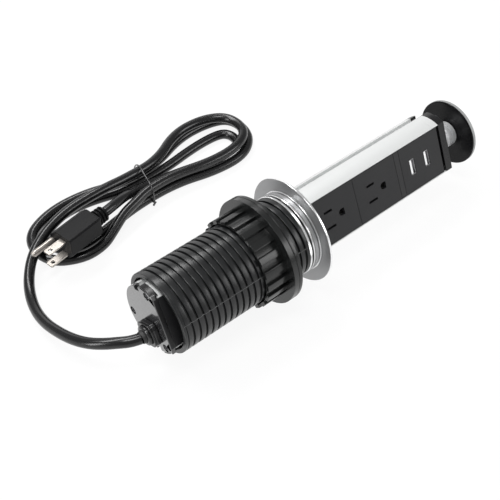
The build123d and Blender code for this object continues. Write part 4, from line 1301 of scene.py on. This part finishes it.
@dataclass
class Plug:
    """Moulded plug with a ribbed relief, two blades and a ground pin."""

    root: Triple = (-141.0, 109.4, 20.0)
    turn: float = 190.2
    length: float = 32.0
    half_height: float = 11.5
    far_side: float = 14.5
    near_side: float = 8.5
    corner: float = 7.0
    side_round: float = 1.5
    back_round: float = 2.5
    face_round: float = 0.5
    relief_length: float = 12.0
    relief_offset: float = 3.0
    relief_radius: float = 5.0
    rib_radius: float = 6.1
    ribs: int = 4
    blade_row: float = 6.35
    blade_root: float = -5.9
    blade_tip: float = 16.0
    blade_half: float = 3.175
    blade_thickness: float = 1.5
    hole_place: float = 12.2
    hole_radius: float = 1.6
    pin_offset: float = 11.9
    pin_radius: float = 2.4

    def place(self) -> Matrix:
        """Matrix from the plug's axes, blades along X and sides along Y, to the world."""
        turn = Matrix.Rotation(math.radians(self.turn), 4, "Z")
        return Matrix.Scale(MM, 4) @ Matrix.Translation(self.root) @ turn

    def body(self) -> Shape:
        """Body with two cut corners and soft edges, and its ribbed relief."""
        f, n, h, c = -self.far_side, self.near_side, self.half_height, self.corner
        outline = [(f, -h), (n - c, -h), (n, c - h), (n, h), (c + f, h), (f, h - c)]
        block = Shape.prism(outline, -self.length, self.length)
        block.bevel(block.edges_along(1.0), self.side_round, 4)
        block.bevel(block.edges_at(-self.length), self.back_round, 4)
        block.bevel(block.edges_at(0.0), self.face_round, 2)
        foot = self.relief_radius
        ribs: list[Pair] = [(0.0, 0.0), (0.0, foot - 0.3), (0.3, foot)]
        for index in range(self.ribs):
            start = (index + 0.35) * self.relief_length / self.ribs
            shoulder = self.rib_radius + 0.12 * index
            ribs += [(start, foot), (start + 0.15, shoulder), (start + 0.45, shoulder + 0.25)]
            ribs += [(start + 1.25, shoulder + 0.25), (start + 1.55, shoulder), (start + 1.7, foot)]
        ribs += [(self.relief_length + 3.0, foot + 0.2), (self.relief_length + 3.0, 0.0)]
        relief = Shape.lathe(ribs, 48, False)
        relief.move(
            Matrix.Translation((-self.length - self.relief_length, -self.relief_offset, 0.0))
        )
        return block.join(relief)

    def blades(self) -> Shape:
        """Two flat blades with chamfered tips and a hole each."""
        root, tip, half = self.blade_root, self.blade_tip, self.blade_half
        edge, soft = tip - 0.8, half - 0.775
        outline = [
            (root, -half), (edge, -half), (tip, -soft), (tip, soft), (edge, half), (root, half)
        ]
        made = Shape()
        for z in (-self.blade_row, self.blade_row):
            low = z - self.blade_thickness / 2
            blade = Shape.raised(
                [(x, y, low) for x, y in outline], (0.0, 0.0, self.blade_thickness)
            )
            place = self.hole_place
            hole = Shape.rod((place, 0.0, z - 3.0), (place, 0.0, z + 3.0), self.hole_radius)
            made.join(blade.carve(hole).soften(0.18, 2, SOFT_CORNER))
        return made

    def pin(self) -> Shape:
        """Round ground pin with a domed tip."""
        root, r = self.blade_root, self.pin_radius
        tip = [(18.4, r), (19.3, 2.22), (20.0, 1.75), (20.4, 1.0), (20.5, 0.0)]
        rod = Shape.lathe([(root, 0.0), (root, r), *tip], 40, False)
        return rod.move(Matrix.Translation((0.0, -self.pin_offset, 0.0)))

    def build(self, finishes: Finishes) -> list[bpy.types.Object]:
        """Make and dress the plug, and return its pieces."""
        place = self.place()
        return [
            self.body().piece(
                "plug_moulding", finishes.plug, Body.TOWER, "plug_rubber", ["plug_body"], place
            ),
            self.blades().piece(
                "plug_flat_blades", finishes.blade, Body.TOWER, "blade_metal", ["plug_blades"],
                place,
            ),
            self.pin().piece(
                "plug_round_pin", finishes.blade, Body.TOWER, "blade_metal", ["ground_pin"], place
            ),
        ]


@dataclass
class TwistTie:
    """Thin coated wire round the waist of the hank, its ends twisted together, in metres."""

    station: float = -0.0500
    slant: float = 0.22
    middle: float = 0.135
    near: float = 0.1182
    far: float = 0.1568
    low: float = 0.0007
    high: float = 0.0204
    radius: float = 0.00065
    tail_points: int = 10
    tail_step: float = 0.0004
    twist: float = 0.0005

    def loop(self) -> list[Triple]:
        """Points round the waist, as (side, height) pairs carried to the slanted plane."""
        near, far, low, high = self.near, self.far, self.low, self.high
        third = (far - near) / 3
        path = [
            (near, low + 0.004), (near + 0.001, low + 0.0004), (near + third, low),
            (far - third, low), (far - 0.001, low + 0.0004), (far + 0.0006, low + 0.005),
            (far - 0.001, high - 0.009), (far - 0.007, high - 0.002),
            (far - third - 0.001, high + 0.0008), (near + third, high - 0.0015),
            (near + 0.005, high - 0.0014), (near - 0.0002, high - 0.006), (near, low + 0.004),
        ]
        return [(self.station + self.slant * (y - self.middle), y, z) for y, z in path]

    def tail(self) -> list[Triple]:
        """Points of the twisted end."""
        start = self.station + self.slant * (self.near - self.middle)
        points = []
        for index in range(self.tail_points):
            turn, reach = index * math.pi / 2.0, index * self.tail_step
            points.append(
                (
                    start - reach * 0.8 + self.twist * math.cos(turn),
                    self.near - 0.0012 - reach * 0.3,
                    self.low + 0.004 - reach * 0.2 + self.twist * math.sin(turn),
                ),
            )
        return points

    def build(self, finishes: Finishes) -> None:
        """Make and dress the tie."""
        item = tube("waist_tie", [self.loop(), self.tail()], self.radius, 3, 8)
        dress(item, finishes.tie, Body.TOWER, ["twist_tie"])


# ---------------------------------------------------------------- studio


@dataclass
class Studio:
    """Pale floor, soft lamps, plain world and the camera."""

    eye: Triple = (-0.34380, -0.33972, 0.53021)
    right: Triple = (0.76238, -0.64713, 0.00018)
    up: Triple = (0.47548, 0.56035, 0.67818)
    back: Triple = (-0.43898, -0.51695, 0.73489)
    lens: float = 68.432
    floor_size: float = 6.0
    floor_shade: float = 0.93
    floor_glow: float = 0.9
    world_strength: float = 0.34
    lamps: tuple[tuple[str, Triple, Triple, Pair, float], ...] = (
        ("key", (-0.1, 0.62, 0.95), (0.0, 0.03, 0.02), (1.1, 0.22), 9.0),
        ("top", (-0.25, -0.15, 1.2), (0.0, 0.05, 0.0), (0.5, 0.3), 5.0),
        ("side", (0.75, -0.85, 0.55), (0.0, 0.0, 0.03), (0.7, 0.6), 6.0),
        ("back", (0.55, 1.05, 0.36), (0.0, 0.0, 0.05), (1.3, 0.5), 1.7),
        ("left", (-0.95, 0.1, 0.35), (-0.1, 0.0, 0.03), (0.2, 0.5), 3.0),
    )

    def camera(self) -> None:
        """Camera at the photograph's angle."""
        data = bpy.data.cameras.new("camera")
        data.lens, data.sensor_width = self.lens, 36.0
        data.clip_start, data.clip_end = 0.02, 20.0
        item = link("camera", data)
        axes = Matrix((self.right, self.up, self.back)).transposed()
        item.matrix_world = Matrix.Translation(self.eye) @ axes.to_4x4()
        bpy.context.scene.camera = item

    @staticmethod
    def _seen(sheet: ShaderSheet) -> Field:
        """One for camera, glossy and transmission rays."""
        path = sheet.node("ShaderNodeLightPath", result="Is Camera Ray")
        glossy, through = path.output("Is Glossy Ray"), path.output("Is Transmission Ray")
        return path.highest(glossy).highest(through)

    def floor(self) -> None:
        """Plain pale floor that keeps a soft shadow."""
        shape = bmesh.new()
        bmesh.ops.create_grid(shape, x_segments=2, y_segments=2, size=self.floor_size / 2)
        data = bpy.data.meshes.new("floor")
        shape.to_mesh(data)
        shape.free()
        item = link("floor", data)
        made = bpy.data.materials.new("pale floor")
        made.use_nodes = True
        sheet = ShaderSheet(made.node_tree)
        shade = (self.floor_shade,) * 3
        matt = sheet.node("ShaderNodeBsdfDiffuse", {}, {"Color": _rgba(shade)})
        glow = sheet.node("ShaderNodeEmission", {}, {"Color": WHITE, "Strength": 1.0})
        share = self._seen(sheet) * self.floor_glow
        mixed = sheet.node("ShaderNodeMixShader", {}, {0: share, 1: matt, 2: glow})
        sheet.node("ShaderNodeOutputMaterial", {}, {"Surface": mixed})
        data.materials.append(made)

    def world(self) -> None:
        """Plain world, white where it is seen."""
        made = bpy.data.worlds.new("studio")
        bpy.context.scene.world = made
        made.use_nodes = True
        sheet = ShaderSheet(made.node_tree)
        plain, white = (
            sheet.node("ShaderNodeBackground", {}, {"Color": WHITE, "Strength": strength})
            for strength in (self.world_strength, 1.0)
        )
        path = sheet.node("ShaderNodeLightPath", result="Is Camera Ray")
        mixed = sheet.node("ShaderNodeMixShader", {}, {0: path, 1: plain, 2: white})
        sheet.node("ShaderNodeOutputWorld", {}, {"Surface": mixed})

    def lamp(self, name: str, place: Triple, aim: Triple, size: Pair, watts: float) -> None:
        """One soft box."""
        data = bpy.data.lights.new(name, "AREA")
        data.shape, data.size, data.size_y, data.energy = "RECTANGLE", *size, watts
        line = Vector(aim) - Vector(place)
        turn = line.to_track_quat("-Z", "Y").to_matrix().to_4x4()
        link(name, data).matrix_world = Matrix.Translation(place) @ turn

    def build(self) -> None:
        """Set the whole studio up."""
        view = bpy.context.scene.view_settings
        view.view_transform = "Standard"
        self.camera()
        self.floor()
        self.world()
        for row in self.lamps:
            self.lamp(*row)


def main() -> None:
    """Build the socket's pieces in order."""
    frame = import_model()
    nodes = frame["nodes"]
    finishes = Finishes()
    Studio().build()
    Housing().build(finishes, nodes)
    Clamp().build(finishes)
    Tower().build(finishes, nodes)
    Gland().build(finishes)
    Plunger().build(finishes, nodes)
    plug = Plug().build(finishes)
    Cord().build(finishes, plug)
    TwistTie().build(finishes)
    bpy.context.view_layer.update()


if __name__ == "__main__":
    logging.basicConfig(level=logging.INFO)
    main()
